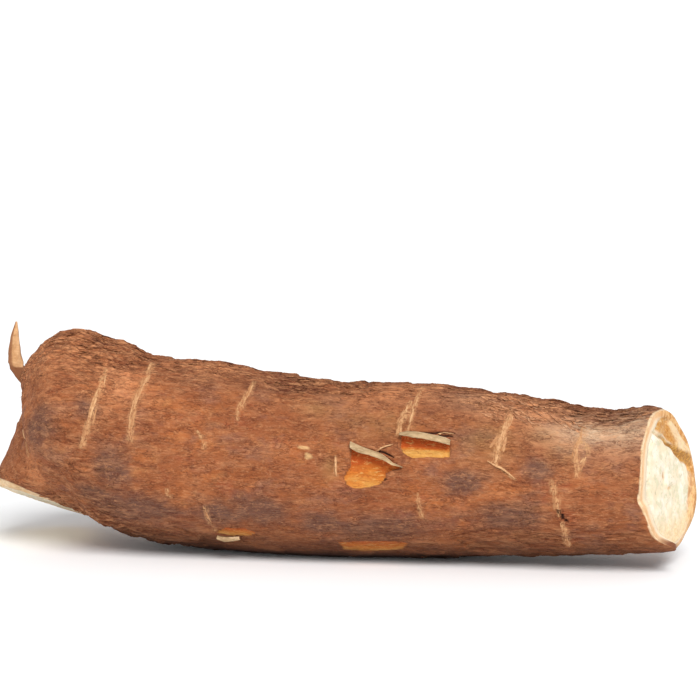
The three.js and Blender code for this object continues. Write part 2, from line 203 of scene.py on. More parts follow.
# Stains by colour: along, degrees round, reach along, reach round in mm
STAINS = {
    "grey": [
        (58, 95, 9, 9), (30, 84, 8, 8), (48, 66, 5, 4), (52, 118, 10, 6), (110, 112, 12, 7), (132, 118, 9, 6),
        (180, 88, 9, 5), (206, 74, 6, 5), (196, 112, 14, 7), (70, 118, 14, 7), (150, 122, 20, 7),
        (60, 122, 18, 8), (96, 118, 10, 6),
    ],
    "ochre": [
        (128, 40, 6, 4), (135, 82, 3, 5), (206, 44, 7, 6), (214, 60, 6, 5), (188, 60, 10, 8),
        (150, 50, 14, 6),
    ],
    "tan": [
        (238, 24, 18, 12), (222, 30, 16, 9), (196, 20, 22, 6),
    ],
    "bright": [
        (34, 22, 18, 17), (58, 40, 12, 10), (198, 22, 16, 8), (84, 12, 16, 8), (150, 20, 20, 8),
        (14, 100, 8, 8),
    ],
}
# Long strands of bark at the thin end's shoulder: places as (along, degrees round)
STRANDS = [
    [(182.4, 6.8), (190.4, 8.2), (198.4, 15), (207.4, 24.7), (214.9, 38.3)],
    [(180.2, 25), (187.7, 32), (194.2, 37.4)],
    [(188.2, -1.4), (200.3, 12.8), (209.4, 11.9), (218.7, 4.5)],
    [(195.6, 25.2), (203, 32.6), (208.8, 31.5)],
    [(178, 25), (185.2, 25), (192.1, 25.8), (199.2, 28.6)],
    [(206.9, 22.1), (215.1, 27.2), (223.9, 36.3)],
    [(179.1, 13.3), (190.1, 20.4), (197.5, 29.2), (205.2, 38)],
]


def smoothstep(x, low, high):
    """0 below low, 1 above high, and a soft rise between them."""
    t = np.clip((x - low) / (high - low), 0, 1)
    return t * t * (3 - 2 * t)


def hashed(i, j, seed):
    """A value from 0 to 1 for each place of a lattice."""
    v = np.sin(i * 127.1 + j * 311.7 + seed * 74.7) * 43758.5453
    return v - np.floor(v)


def noise(x, y, period, seed):
    """Value noise from 0 to 1 on a lattice that repeats every period steps round the root."""
    x, y = np.broadcast_arrays(np.asarray(x, float), np.asarray(y, float))
    i, j = np.floor(x), np.floor(y)
    fx, fy = x - i, y - j
    sx, sy = fx * fx * (3 - 2 * fx), fy * fy * (3 - 2 * fy)
    near_row, far_row = np.mod(j, period), np.mod(j + 1, period)
    near = hashed(i, near_row, seed) * (1 - sx) + hashed(i + 1, near_row, seed) * sx
    far = hashed(i, far_row, seed) * (1 - sx) + hashed(i + 1, far_row, seed) * sx
    return near * (1 - sy) + far * sy


def noise3(p, seed):
    """Value noise from 0 to 1 in space."""
    base = np.floor(p)
    f = p - base
    s = f * f * f * (f * (6 * f - 15) + 10)
    total = np.zeros(p.shape[:-1])
    for corner in range(8):
        bits = np.array([(corner >> k) & 1 for k in range(3)])
        q = base + bits
        v = np.sin(q[..., 0] * 127.1 + q[..., 1] * 311.7 + q[..., 2] * 173.3 + seed * 74.7) * 43758.5453
        weight = np.prod(np.where(bits, s, 1 - s), axis=-1)
        total += weight * (v - np.floor(v))
    return total


def grain_noise(p, length, width, seed, octaves=3):
    """Noise from 0 to 1 drawn out along X, in coarse to fine layers."""
    q = p / np.array([length, width, width])
    total, amount, weight = 0.0, 0.0, 1.0
    for k in range(octaves):
        total = total + weight * noise3(q * 2.07**k + 13.7 * k, seed + k)
        amount += weight
        weight *= 0.5
    return total / amount


def spaced(low, high, count, density):
    """Places from low to high, closer together where density is larger."""
    fine = np.linspace(low, high, 4001)
    total = np.concatenate([[0], np.cumsum((density(fine[1:]) + density(fine[:-1])) / 2)])
    return np.interp(np.linspace(0, total[-1], count), total, fine)


def section(along):
    """Centre, half-height and half-width vectors of the section at each distance along."""
    along = np.asarray(along, float)
    knots, values = STATIONS[:, 0], STATIONS[:, 1:]
    slope = np.gradient(values, knots, axis=0)
    i = np.clip(np.searchsorted(knots, along, side="right") - 1, 0, len(knots) - 2)
    gap = (knots[i + 1] - knots[i])[..., None]
    t = (along[..., None] - knots[i][..., None]) / gap
    ease = t * t * (3 - 2 * t)
    v = values[i] * (1 - ease) + values[i + 1] * ease
    v = v + gap * slope[i] * t * (1 - t) ** 2 + gap * slope[i + 1] * t * t * (t - 1)
    low = np.stack([v[..., 0], v[..., 4], v[..., 1]], -1)
    high = np.stack([v[..., 2], v[..., 4], v[..., 3]], -1)
    return (low + high) / 2, (high - low) / 2, v[..., 5:8]


def on_form(along, round_):
    """Points of the plain form, without relief, and the way out of it there."""
    centre, up, side = section(along)
    spoke = up * np.cos(round_)[..., None] - side * np.sin(round_)[..., None]
    return centre + spoke, spoke / np.linalg.norm(spoke, axis=-1, keepdims=True)


def grain_step(along, round_):
    """How far along and round a place moves for each mm of the grain, which runs along X."""
    here = on_form(along, round_)[0]
    a = (on_form(along + 0.5, round_)[0] - here) / 0.5
    b = (on_form(along, round_ + 0.01)[0] - here) / 0.01
    aa, ab, bb = (a * a).sum(-1), (a * b).sum(-1), (b * b).sum(-1)
    spread = aa * bb - ab**2
    return (bb * a[..., 0] - ab * b[..., 0]) / spread, (aa * b[..., 0] - ab * a[..., 0]) / spread


def turn_of(p):
    """How far round the grain's axis a point is, from 0 on top over 1/4 in front to 1."""
    return np.mod(np.arctan2(-p[..., 1], p[..., 2] - AXIS_HEIGHT) / (2 * np.pi), 1)


def roughness(x, turn):
    """How rough the solid's bark is, from 0 to 1."""
    front = np.exp(-(((turn - 0.23) / 0.1) ** 2))
    return np.clip(0.75 + 0.5 * noise(x / 45, turn * 5, 5, 9) - 0.6 * front, 0, 1)


def shagginess(along, turn):
    """How much the bark splits into loose strands: most on top and towards both ends, least in front."""
    front = smoothstep(turn, 0.05, 0.15) * (1 - smoothstep(turn, 0.30, 0.40))
    ends = 1 - smoothstep(along, 45, 85) * (1 - 0.6 * smoothstep(along, 175, 200))
    patch = noise(along / 17, turn * 9, 9, 8) - 0.5
    under = smoothstep(turn, 0.3, 0.36) * (1 - smoothstep(turn, 0.55, 0.62)) * smoothstep(along, 85, 115)
    return np.clip(0.8 + 0.2 * ends - (0.78 - 0.1 * ends) * front - 0.45 * under + 0.5 * patch, 0.06, 1)


def worn_flat(x, turn):
    below = 1 - smoothstep(np.abs(turn - 0.5), 0.05, 0.1)
    return below * smoothstep(x, -58, -35) * (1 - smoothstep(x, 20, 40))


def bark_plates(x, turn):
    """The solid's bark plates: their tilt, and 1 in the fissures between them."""
    u, v = x / PLATE["length"], turn * PLATE["around"]
    first = np.full(x.shape, np.inf)
    second = first.copy()
    lift = np.zeros(x.shape)
    for di in (-1, 0, 1):
        for dj in (-1, 0, 1):
            i, j = np.floor(u) + di, np.floor(v) + dj
            row = np.mod(j, PLATE["around"])
            du = u - i - hashed(i, row, PLATE["seed"])
            dv = v - j - hashed(i, row, PLATE["seed"] + 1)
            distance = np.hypot(du, dv)
            closer = distance < first
            second = np.where(closer, first, np.minimum(second, distance))
            lift = np.where(closer, du + 0.7 * hashed(i, row, PLATE["seed"] + 2) - 0.6, lift)
            first = np.where(closer, distance, first)
    return PLATE["tilt"] * lift, 1 - smoothstep(second - first, 0, 0.3)


def angle_gap(a, b):
    return np.arctan2(np.sin(a - b), np.cos(a - b))


def radius_at(along):
    return float(np.linalg.norm(section(along)[1]))


def surface_mm(along, round_, place):
    """How far points are from a place on the surface: mm along and mm round."""
    return along - place[0], angle_gap(round_, np.radians(place[1])) * radius_at(place[0])


def outline_depth(along, round_, outline):
    """Signed distance in mm to an outline on the surface, positive inside."""
    middle = np.mean(outline, axis=0)
    du, dv = surface_mm(along, round_, middle)
    radius = radius_at(middle[0])
    corners = [(a - middle[0], math.radians(r - middle[1]) * radius) for a, r in outline]
    distance = np.full(du.shape, 1e9)
    inside = np.zeros(du.shape, bool)
    for (ax, ay), (bx, by) in zip(corners, corners[1:] + corners[:1]):
        ex, ey = bx - ax, by - ay
        t = np.clip(((du - ax) * ex + (dv - ay) * ey) / (ex * ex + ey * ey), 0, 1)
        distance = np.minimum(distance, np.hypot(du - ax - t * ex, dv - ay - t * ey))
        crosses = ((ay > dv) != (by > dv)) & (du < (bx - ax) * (dv - ay) / (by - ay + 1e-12) + ax)
        inside ^= crosses
    return np.where(inside, distance, -distance)


def path_distance(along, round_, path):
    """Distance in mm to a path on the surface, and the share of the way along it."""
    distance, share = np.full(along.shape, 1e9), np.zeros(along.shape)
    steps = len(path) - 1
    for k, (start, end) in enumerate(zip(path, path[1:])):
        du, dv = surface_mm(along, round_, start)
        ex, ey = end[0] - start[0], math.radians(end[1] - start[1]) * radius_at(start[0])
        t = np.clip((du * ex + dv * ey) / (ex * ex + ey * ey), 0, 1)
        here = np.hypot(du - t * ex, dv - t * ey)
        share = np.where(here < distance, (k + t) / steps, share)
        distance = np.minimum(distance, here)
    return distance, share


def hidden_scars():
    """Scars on the back, drawn by rule."""
    h = HIDDEN_SCARS
    made = []
    for k in range(h["count"]):
        draw = [float(hashed(k, n, h["seed"])) for n in range(1, 6)]
        along = h["along"][0] + (h["along"][1] - h["along"][0]) * (k + 0.7 * draw[0]) / h["count"]
        start = h["round"][0] + (h["round"][1] - 60 - h["round"][0]) * draw[1]
        reach = 24 + 42 * draw[2]
        bow = 5 * (draw[4] - 0.5)
        shares = np.linspace(0, 1, 6)
        path = [(along + bow * t * (2 - t) + 0.8 * math.sin(9 * t + k), start + reach * t) for t in shares]
        made.append((path, 0.7 + 0.9 * draw[3]))
    return made


def tongue_at(round_):
    """1 where the bark was torn past the thin end's cut, as a tongue."""
    return np.exp(-(((round_ - math.radians(164)) / math.radians(24)) ** 2))


def bare_rim(along, round_):
    """1 where the bark has broken off along the two cuts' edges."""
    ragged = 0.3 * (noise(round_ * 7, 0.5, 997, 25) - 0.5) + 0.15 * (noise(round_ * 23, 0.5, 997, 26) - 0.5)
    neck = 1 - smoothstep(along + ragged, 1.5, 2.0)
    thin = smoothstep(along + ragged, LENGTH - 0.9, LENGTH - 0.5) * (1 - tongue_at(round_))
    return np.maximum(neck, thin)


def bark(along, round_):
    """Points of the bark's surface, and masks for its material, at each place (arrays of one shape)."""
    plain, outward = on_form(along, round_)
    x = plain[..., 0]
    turn = turn_of(plain)
    from_axis = np.hypot(plain[..., 1], plain[..., 2] - AXIS_HEIGHT)

    broad = LUMP * (2 * noise(x / 30, turn * 7, 7, 1) - 1)
    for a, r, reach, spread, height in BUMPS:
        gap = angle_gap(round_, math.radians(r))
        broad = broad + height * np.exp(-(((along - a) / reach) ** 2) - (gap / math.radians(spread)) ** 2)

    rough, shaggy = roughness(x, turn), shagginess(along, turn)
    tilt, fissure = bark_plates(x, turn)
    grain = plain + 2.0 * (grain_noise(plain, 22, 9, 50, 2) - 0.5)[..., None] * np.array([0, 1, 1])
    sheets = 11 * grain_noise(grain, 19, 3.0, 61, 3) + 0.8 * tilt
    part = sheets - np.floor(sheets)
    step = np.floor(sheets) + smoothstep(part, 0.7, 1) - 5
    # A painted highlight on the rim of each step between the bark's layers
    edge_highlight = smoothstep(part, 0.45, 0.7) * (1 - smoothstep(part, 0.72, 0.98))
    crack_noise = grain_noise(grain, 24, 2.6, 81, 2)
    crack = smoothstep(1 - np.abs(2 * crack_noise - 1), 0.88, 0.98)
    gate = smoothstep(grain_noise(plain, 9, 5, 85, 2), 0.42, 0.56)
    small_noise = grain_noise(grain, 11, 1.35, 91, 2)
    small = smoothstep(1 - np.abs(2 * small_noise - 1), 0.86, 0.98)
    wrinkle = grain_noise(grain, 4.5, 1.0, 95, 2) - 0.5
    h = RELIEF
    detail = (h["layer"] * step + h["sheet"] * (part - 0.5)) * shaggy
    detail = detail + h["plate"] * tilt * rough * (0.4 + 0.6 * shaggy)
    detail = detail - (h["fissure"] * fissure * rough + h["crack"] * crack * gate) * shaggy
    detail = detail + (h["wrinkle"] * wrinkle - h["small"] * small) * (0.45 + 0.55 * shaggy)

    scar = np.zeros(along.shape)
    for path, wide in SCARS + hidden_scars():
        off, t = path_distance(along, round_, path)
        broken = noise(t * 8 + path[0][0], 0.5, 997, 15)
        reach = wide * (0.6 + 0.7 * broken) * (0.55 + 0.45 * np.sin(np.pi * np.clip(t, 0.05, 0.95)))
        off = off + 0.5 * (grain_noise(plain, 1.6, 1.2, 141, 2) - 0.5)
        scar = np.maximum(scar, 1 - smoothstep(off, 0.5 * reach, 1.2 * reach + 0.15))

    peel, tone = np.zeros(along.shape), np.zeros(along.shape)
    for k, (outline, deep, (start, rise), soft) in enumerate(NICKS):
        edge = outline_depth(along, round_, outline) + 0.5 * (grain_noise(plain, 2.4, 1.6, 101 + k, 2) - 0.5)
        peel = np.maximum(peel, smoothstep(edge, -0.5 * soft, soft) * deep)
        rounds = np.radians([r for _, r in outline])
        down = angle_gap(round_, rounds.min()) / np.ptp(rounds)
        here = start + rise * down + 0.35 * (grain_noise(plain, 5, 2, 131, 2) - 0.5)
        tone = np.where(edge > -1.5, here, tone)

    slit = np.zeros(along.shape)
    for path in SLITS:
        off, t = path_distance(along, round_, path)
        reach = 0.25 + 0.35 * np.sin(np.pi * np.clip(t, 0.05, 0.95))
        slit = np.maximum(slit, 1 - smoothstep(off, 0.12, reach))

    scuff = np.zeros(along.shape)
    for a, r, reach, wide in SCUFFS:
        du, dv = surface_mm(along, round_, (a, r))
        near = np.hypot(du / reach, dv / wide) + 0.6 * (grain_noise(plain, 2, 1.2, 111, 2) - 0.5)
        scuff = np.maximum(scuff, 1 - smoothstep(near, 0.5, 1.2))

    inner = smoothstep(np.abs(round_ - np.pi), math.radians(30), math.radians(75))
    even = (1 - worn_flat(x, turn)) * smoothstep(from_axis, 4, 20)
    calm = np.maximum(inner, smoothstep(along, 30, 55)) * even
    rims = smoothstep(along, 0, 8) * (1 - smoothstep(along, LENGTH - 6, LENGTH))
    cut = np.clip(peel, 0, 1)
    bare = bare_rim(along, round_)
    height = broad * calm * (0.25 + 0.75 * rims)
    whole = (1 - 0.8 * np.maximum(0.7 * scar, cut)) * (1 - bare)
    height = height + detail * (0.3 + 0.7 * calm) * (0.25 + 0.75 * rims) * whole
    height = height + (h["scar"] * scar - h["slit"] * slit) * (1 - cut) + h["scuff"] * scuff
    height = height - peel - h["bare"] * bare
    height = height + h["peeled"] * (grain_noise(plain, 2.6, 1.0, 121, 2) - 0.5) * cut

    # Painted shade: the root is darkened along its top
    top = 1 - smoothstep(np.abs(angle_gap(2 * np.pi * turn, 0)), 0.45, 0.95)
    # Painted shade in the cracks, fissures and small splits
    crack_shade = (0.8 * crack * gate + 0.3 * fissure * rough) * shaggy + 0.55 * small * (0.4 + 0.6 * shaggy)
    # Painted contact shadow: near black on the underside where the root meets the floor
    contact_shade = (1 - smoothstep(plain[..., 2], 1.0, 4.5)) * smoothstep(along, 45, 80)
    masks = {
        "crack_shade": np.clip(crack_shade, 0, 1),
        "edge_highlight": edge_highlight * shaggy,
        "layer": np.clip(0.5 + 0.12 * step, 0, 1),
        "shaggy": shaggy,
        "slit": slit,
        "scar": scar,
        "peel": cut,
        "tone": np.clip(tone, 0, 1),
        "scuff": scuff,
        "top": top * smoothstep(along, 55, 90),
        # Painted shade, darker towards the bottom
        "low": (1 - smoothstep(plain[..., 2], 1.5, 17)) * (1 - 0.5 * smoothstep(along, 60, 30)),
        "contact_shade": contact_shade * (1 - 0.5 * smoothstep(along, 165, 200)),
        "bare": bare,
    }
    for kind, places in STAINS.items():
        found = [(*surface_mm(along, round_, (a, r)), reach, wide) for a, r, reach, wide in places]
        near = [np.exp(-((du / reach) ** 2) - (dv / wide) ** 2) for du, dv, reach, wide in found]
        masks[kind] = np.max(near, 0)
    points = plain + outward * height[..., None]
    points[..., 2] = np.maximum(points[..., 2], 0)
    return points, masks


def placed(name, data):
    """A new object in the scene."""
    obj = bpy.data.objects.new(name, data)
    bpy.context.scene.collection.objects.link(obj)
    return obj


def make_mesh(name, points, faces, materials, face_material=None, masks=None, smooth=True):
    """A mesh object riding on the root, from points in mm in the solid's form, and faces."""
    mesh = bpy.data.meshes.new(name)
    mesh.from_pydata(((np.asarray(points, float) - ORIGIN) / 1000).tolist(), [], faces)
    for m in materials:
        mesh.materials.append(m)
    if face_material is not None:
        mesh.polygons.foreach_set("material_index", np.asarray(face_material, np.int32))
    mesh.polygons.foreach_set("use_smooth", np.full(len(mesh.polygons), smooth))
    for key, values in (masks or {}).items():
        layer = mesh.attributes.new(key, "FLOAT", "POINT")
        layer.data.foreach_set("value", np.asarray(values, np.float32))
    mesh.update()
    obj = placed(name, mesh)
    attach(obj, "root")
    return obj


# Materials
def linear(r, g, b):
    """A colour given as 0 to 255 on screen, as the shader's linear values."""
    return (*(((c / 255 + 0.055) / 1.055) ** 2.4 for c in (r, g, b)), 1)


class Nodes:
    """A material's node tree, built by short calls. Colours are given as 0 to 255 on screen."""

    def __init__(self, name):
        self.material = bpy.data.materials.new(name)
        self.material.use_nodes = True
        self.tree = self.material.node_tree
        self.shader = self.tree.nodes["Principled BSDF"]

    def add(self, kind, inputs, **settings):
        """A node with its settings made, and its inputs set to values or linked to other nodes."""
        node = self.tree.nodes.new("ShaderNode" + kind)
        for key, value in settings.items():
            setattr(node, key, value)
        for key, value in inputs.items():
            if isinstance(value, bpy.types.NodeSocket):
                self.tree.links.new(value, node.inputs[key])
            else:
                node.inputs[key].default_value = value
        return node

    def mask(self, name):
        return self.add("Attribute", {}, attribute_name=name).outputs["Fac"]

    def maths(self, operation, a, b):
        return self.add("Math", {0: a, 1: b}, operation=operation).outputs[0]

    def times(self, a, b):
        return self.maths("MULTIPLY", a, b)

    def vector(self, operation, a, b):
        return self.add("VectorMath", {0: a, 1: b}, operation=operation).outputs["Vector"]

    def ramp(self, value, low, high, to_low=0.0, to_high=1.0):
        inputs = {"Value": value, "From Min": low, "From Max": high, "To Min": to_low, "To Max": to_high}
        return self.add("MapRange", inputs).outputs["Result"]

    def place(self, along, across, high=None):
        """Object coordinates in mm, scaled along each axis."""
        scale = [1000 * s for s in (along, across, high or across)]
        coords = self.add("TexCoord", {}).outputs["Object"]
        return self.add("Mapping", {"Vector": coords, "Scale": scale}).outputs["Vector"]

    def noise(self, along, across, detail=4, rough=0.55, distortion=0.0, high=None, output="Fac"):
        inputs = {"Scale": 1, "Detail": detail, "Roughness": rough, "Distortion": distortion}
        inputs["Vector"] = self.place(along, across, high)
        return self.add("TexNoise", inputs).outputs[output]

    def ridges(self, along, across, wide, detail=3, distortion=0.3):
        """Thin lines, drawn out along X, where a noise crosses its middle value."""
        centred = self.maths("SUBTRACT", self.noise(along, across, detail, 0.5, distortion), 0.5)
        return self.ramp(self.maths("ABSOLUTE", centred, 0), wide, 0)

    def plates(self, scale, stir, rate):
        """Plates drawn out along X: how far a place is from their edges, and a value from 0 to 1 each."""
        wave = self.vector("SUBTRACT", self.noise(*rate, 2, 0.5, output="Color"), (0.5, 0.5, 0.5))
        place = self.vector("ADD", self.place(*scale), self.vector("MULTIPLY", wave, (stir, stir, stir)))
        inputs = {"Vector": place, "Scale": 1}
        edge, cell = (self.add("TexVoronoi", inputs, feature=kind) for kind in ("DISTANCE_TO_EDGE", "F1"))
        apart = self.add("SeparateColor", {"Color": cell.outputs["Color"]})
        return edge.outputs["Distance"], apart.outputs["Red"]

    def mix(self, factor, a, b):
        a, b = (linear(*v) if isinstance(v, tuple) else v for v in (a, b))
        return self.add("Mix", {"Factor": factor, "A": a, "B": b}, data_type="RGBA").outputs["Result"]

    def layers(self, colour, *steps):
        """Lays colours over a first one, each from none to an amount as its value goes from low to high."""
        for value, low, high, amount, over in steps:
            colour = self.mix(self.ramp(value, low, high, 0, amount), colour, over)
        return colour

    def bumps(self, *steps):
        """A normal bumped by heights, each with its strength and its depth in mm."""
        under = {}
        for height, strength, deep in steps:
            inputs = {"Height": height, "Strength": strength, "Distance": deep / 1000}
            under = {"Normal": self.add("Bump", inputs | under).outputs["Normal"]}
        return under["Normal"]

    def finish(self, colour, rough_low, rough_high, rough_by, normal, specular=0.3):
        """The material, with its roughness between two values by a mask."""
        roughness = self.ramp(rough_by, 0, 1, rough_low, rough_high)
        for key, source in (("Base Color", colour), ("Roughness", roughness), ("Normal", normal)):
            self.tree.links.new(source, self.shader.inputs[key])
        self.shader.inputs["Specular IOR Level"].default_value = specular
        return self.material


def bark_material():
    n = Nodes("bark")
    shaggy, layer, tone = n.mask("shaggy"), n.mask("layer"), n.mask("tone")
    broad = n.ramp(n.noise(0.035, 0.06, 3), 0.36, 0.64)
    blotch = n.ramp(n.noise(0.10, 0.16, 5, 0.6), 0.36, 0.66)
    mottle = n.noise(0.42, 0.7, 5, 0.7, 0.5)
    streak = n.noise(0.24, 1.0, 5, 0.66, 0.9)
    thread = n.noise(0.7, 2.5, 4, 0.62, 0.5)
    # Lines, each kind left out in some places; the dark ones paint shade into grooves
    wrinkles = n.times(n.ridges(0.26, 0.85, 0.05, 4, 0.9), n.ramp(n.noise(0.14, 0.26, 3), 0.44, 0.58))
    creases = n.times(n.ridges(0.5, 1.7, 0.055, 3, 0.6), n.ramp(n.noise(0.2, 0.4, 3), 0.4, 0.6))
    long_lines = n.times(n.ridges(0.09, 0.55, 0.035, 4, 0.5), n.ramp(n.noise(0.08, 0.2, 3), 0.42, 0.6))
    folds = n.times(n.ridges(0.2, 0.95, 0.05, 3, 0.8), n.ramp(n.noise(0.16, 0.3, 3), 0.42, 0.56))
    rim, kind = n.plates((0.15, 0.72), 1.2, (0.12, 0.3))
    grain = n.noise(0.4, 1.2, 5, 0.65, 0.8)
    # Peeled cortex, red at a nick's top and ochre below; under a flap the red is partly painted shade
    peeled = n.layers(
        n.mix(n.ramp(tone, 0.25, 0.62), (196, 88, 34), (212, 124, 48)),
        (tone, 0.6, 0.95, 1, (222, 162, 82)),
        (grain, 0.54, 0.68, 0.75, (236, 186, 112)),
        (grain, 0.44, 0.3, 0.75, (176, 78, 30)),
    )
    raw = n.mix(n.ramp(n.noise(0.4, 0.4), 0.4, 0.6), (246, 214, 174), (232, 192, 144))
    fibre = n.ramp(n.noise(2.0, 0.7, 4, 0.65, 0.3), 0.42, 0.57, 0.12, 0.95)
    colour = n.layers(
        n.mix(broad, (152, 88, 52), (165, 98, 58)),
        # Broad patches
        (blotch, 0, 1, 0.6, (150, 82, 47)),
        (n.noise(0.07, 0.12, 4, 0.6), 0.52, 0.66, 0.8, (134, 90, 74)),
        (n.noise(0.055, 0.1, 4, 0.6), 0.52, 0.66, 0.65, (192, 110, 56)),
        (n.noise(0.12, 0.2, 4, 0.6), 0.58, 0.72, 0.5, (196, 132, 80)),
        (n.noise(0.085, 0.15, 4, 0.6), 0.57, 0.7, 0.5, (154, 70, 44)),
        (layer, 0.6, 0.2, 0.3, (142, 76, 42)),
        (layer, 0.55, 1, 0.35, (184, 126, 86)),
        # Stains, and painted shade along the top
        (n.maths("ADD", n.mask("grey"), n.noise(0.22, 0.36, 5, 0.7)), 0.7, 1.3, 0.9, (108, 76, 64)),
        (n.times(n.mask("ochre"), n.ramp(blotch, 0, 1, 0.2, 0.7)), 0, 1, 1, (156, 118, 72)),
        (n.times(n.mask("tan"), n.ramp(streak, 0.3, 0.52, 0.65, 1)), 0, 1, 1, (238, 206, 170)),
        # Painted shade along the top
        (n.mask("top"), 0, 1, 0.6, (122, 74, 50)),
        (n.times(n.mask("bright"), n.ramp(mottle, 0.35, 0.6, 0.5, 1)), 0, 1, 1, (222, 144, 94)),
        # Grain
        (n.times(n.ramp(kind, 0.45, 1), shaggy), 0, 1, 0.8, (214, 150, 104)),
        (n.times(n.ramp(kind, 0.35, 0), shaggy), 0, 1, 0.55, (146, 82, 50)),
        (mottle, 0.55, 0.7, 0.55, (204, 142, 96)),
        (mottle, 0.43, 0.28, 0.45, (124, 68, 42)),
        (streak, 0.56, 0.72, 0.4, (200, 140, 96)),
        (streak, 0.43, 0.28, 0.4, (124, 66, 40)),
        (thread, 0.4, 0.26, 0.5, (112, 58, 35)),
        (thread, 0.6, 0.74, 0.55, (214, 156, 110)),
        (n.noise(2.0, 2.8, 3, 0.6), 0.38, 0.26, 0.4, (104, 56, 36)),
        # Painted highlight on the rims of the bark's layers and on the lifted edges of flakes and strands
        (n.mask("edge_highlight"), 0.2, 1, 0.45, (214, 156, 110)),
        # Lines: pale folds, then painted shade in creases, wrinkles, long thin lines, plate edges and cracks
        (folds, 0, 1, 0.42, (202, 142, 100)),
        (creases, 0, 1, 0.45, (114, 58, 35)),
        (wrinkles, 0, 1, 0.7, (98, 46, 28)),
        (n.times(long_lines, n.ramp(shaggy, 0, 1, 0.35, 1)), 0, 1, 0.75, (78, 36, 22)),
        (n.times(n.ramp(rim, 0.13, 0.03), n.ramp(shaggy, 0.4, 0.85)), 0, 1, 0.5, (96, 48, 30)),
        # Painted shade in the cracks and fissures
        (n.mask("crack_shade"), 0.2, 0.9, 0.6, (88, 42, 27)),
        # Painted shade below and at the floor, scars, slits with painted shade, and bark broken or peeled off
        # Painted shade towards the bottom
        (n.times(n.mask("low"), n.ramp(blotch, 0, 1, 0.6, 0.85)), 0, 1, 1, (70, 42, 30)),
        # Painted contact shadow at the floor
        (n.mask("contact_shade"), 0, 1, 0.8, (40, 26, 21)),
        (n.times(n.mask("scar"), fibre), 0, 1, 1, (210, 158, 110)),
        (n.mask("scuff"), 0.15, 0.9, 0.85, (222, 176, 122)),
        # Painted shade in the slits' gaps
        (n.mask("slit"), 0.2, 0.8, 0.95, (48, 22, 16)),
        (n.mask("peel"), 0.35, 0.75, 1, peeled),
        (n.mask("bare"), 0.3, 0.7, 1, raw),
    )
    normal = n.bumps(
        (streak, 0.6, 0.7),
        (mottle, 0.5, 0.5),
        (thread, 0.6, 0.4),
        (n.times(n.ramp(rim, 0, 0.25), shaggy), 0.6, 0.5),
        (n.maths("SUBTRACT", 1.0, n.maths("MAXIMUM", wrinkles, creases)), 0.6, 0.3),
    )
    return n.finish(colour, 0.72, 0.95, streak, normal, 0.22)


def fibre_material():
    n = Nodes("scar_fibre")
    streak = n.noise(1.2, 0.7, 4, 0.6)
    colour = n.mix(n.mask("tone"), (172, 116, 74), (212, 166, 120))
    colour = n.layers(colour, (streak, 0.55, 0.38, 0.6, (158, 100, 62)))
    return n.finish(colour, 0.7, 0.95, streak, n.bumps((n.noise(5, 1.2, 3), 0.4, 0.2)), 0.25)


def rind_material():
    n = Nodes("rind")
    patch, fine = n.noise(0.45, 0.45, 4, 0.6), n.noise(2.2, 2.2, 4, 0.6)
    ochre = n.mix(n.ramp(patch, 0.44, 0.56), (192, 130, 60), (226, 182, 124))
    colour = n.layers(
        n.mix(n.ramp(patch, 0.35, 0.65), (222, 184, 144), (210, 164, 118)),
        (fine, 0.52, 0.7, 0.4, (206, 158, 108)),
        (n.mask("inner"), 0.2, 0.9, 1, (238, 224, 198)),
        (n.mask("stain"), 0.1, 0.8, 1, n.layers(ochre, (fine, 0.55, 0.66, 0.7, (164, 100, 46)))),
        (n.mask("skinned"), 0.25, 0.6, 1, n.mix(fine, (92, 50, 32), (140, 84, 54))),
    )
    return n.finish(colour, 0.5, 0.8, patch, n.bumps((fine, 0.5, 0.3)))


def flap_material(name, deep, light, pale):
    n = Nodes(name)
    streak = n.noise(0.45, 2.4, 4, 0.6)
    colour = n.layers(
        n.mix(n.ramp(n.noise(0.22, 0.4, 4, 0.6), 0.38, 0.62), deep, light),
        (streak, 0.55, 0.7, 0.55, pale),
        (streak, 0.46, 0.32, 0.5, (150, 110, 74)),
        # On the flaps a painted highlight along the upper edge; on the splinter a paler side
        (n.mask("pale"), 0.3, 0.9, 0.85, pale),
        (n.mask("crust"), 0.2, 0.85, 1, (134, 84, 52)),
    )
    return n.finish(colour, 0.6, 0.9, streak, n.bumps((streak, 0.5, 0.3)))


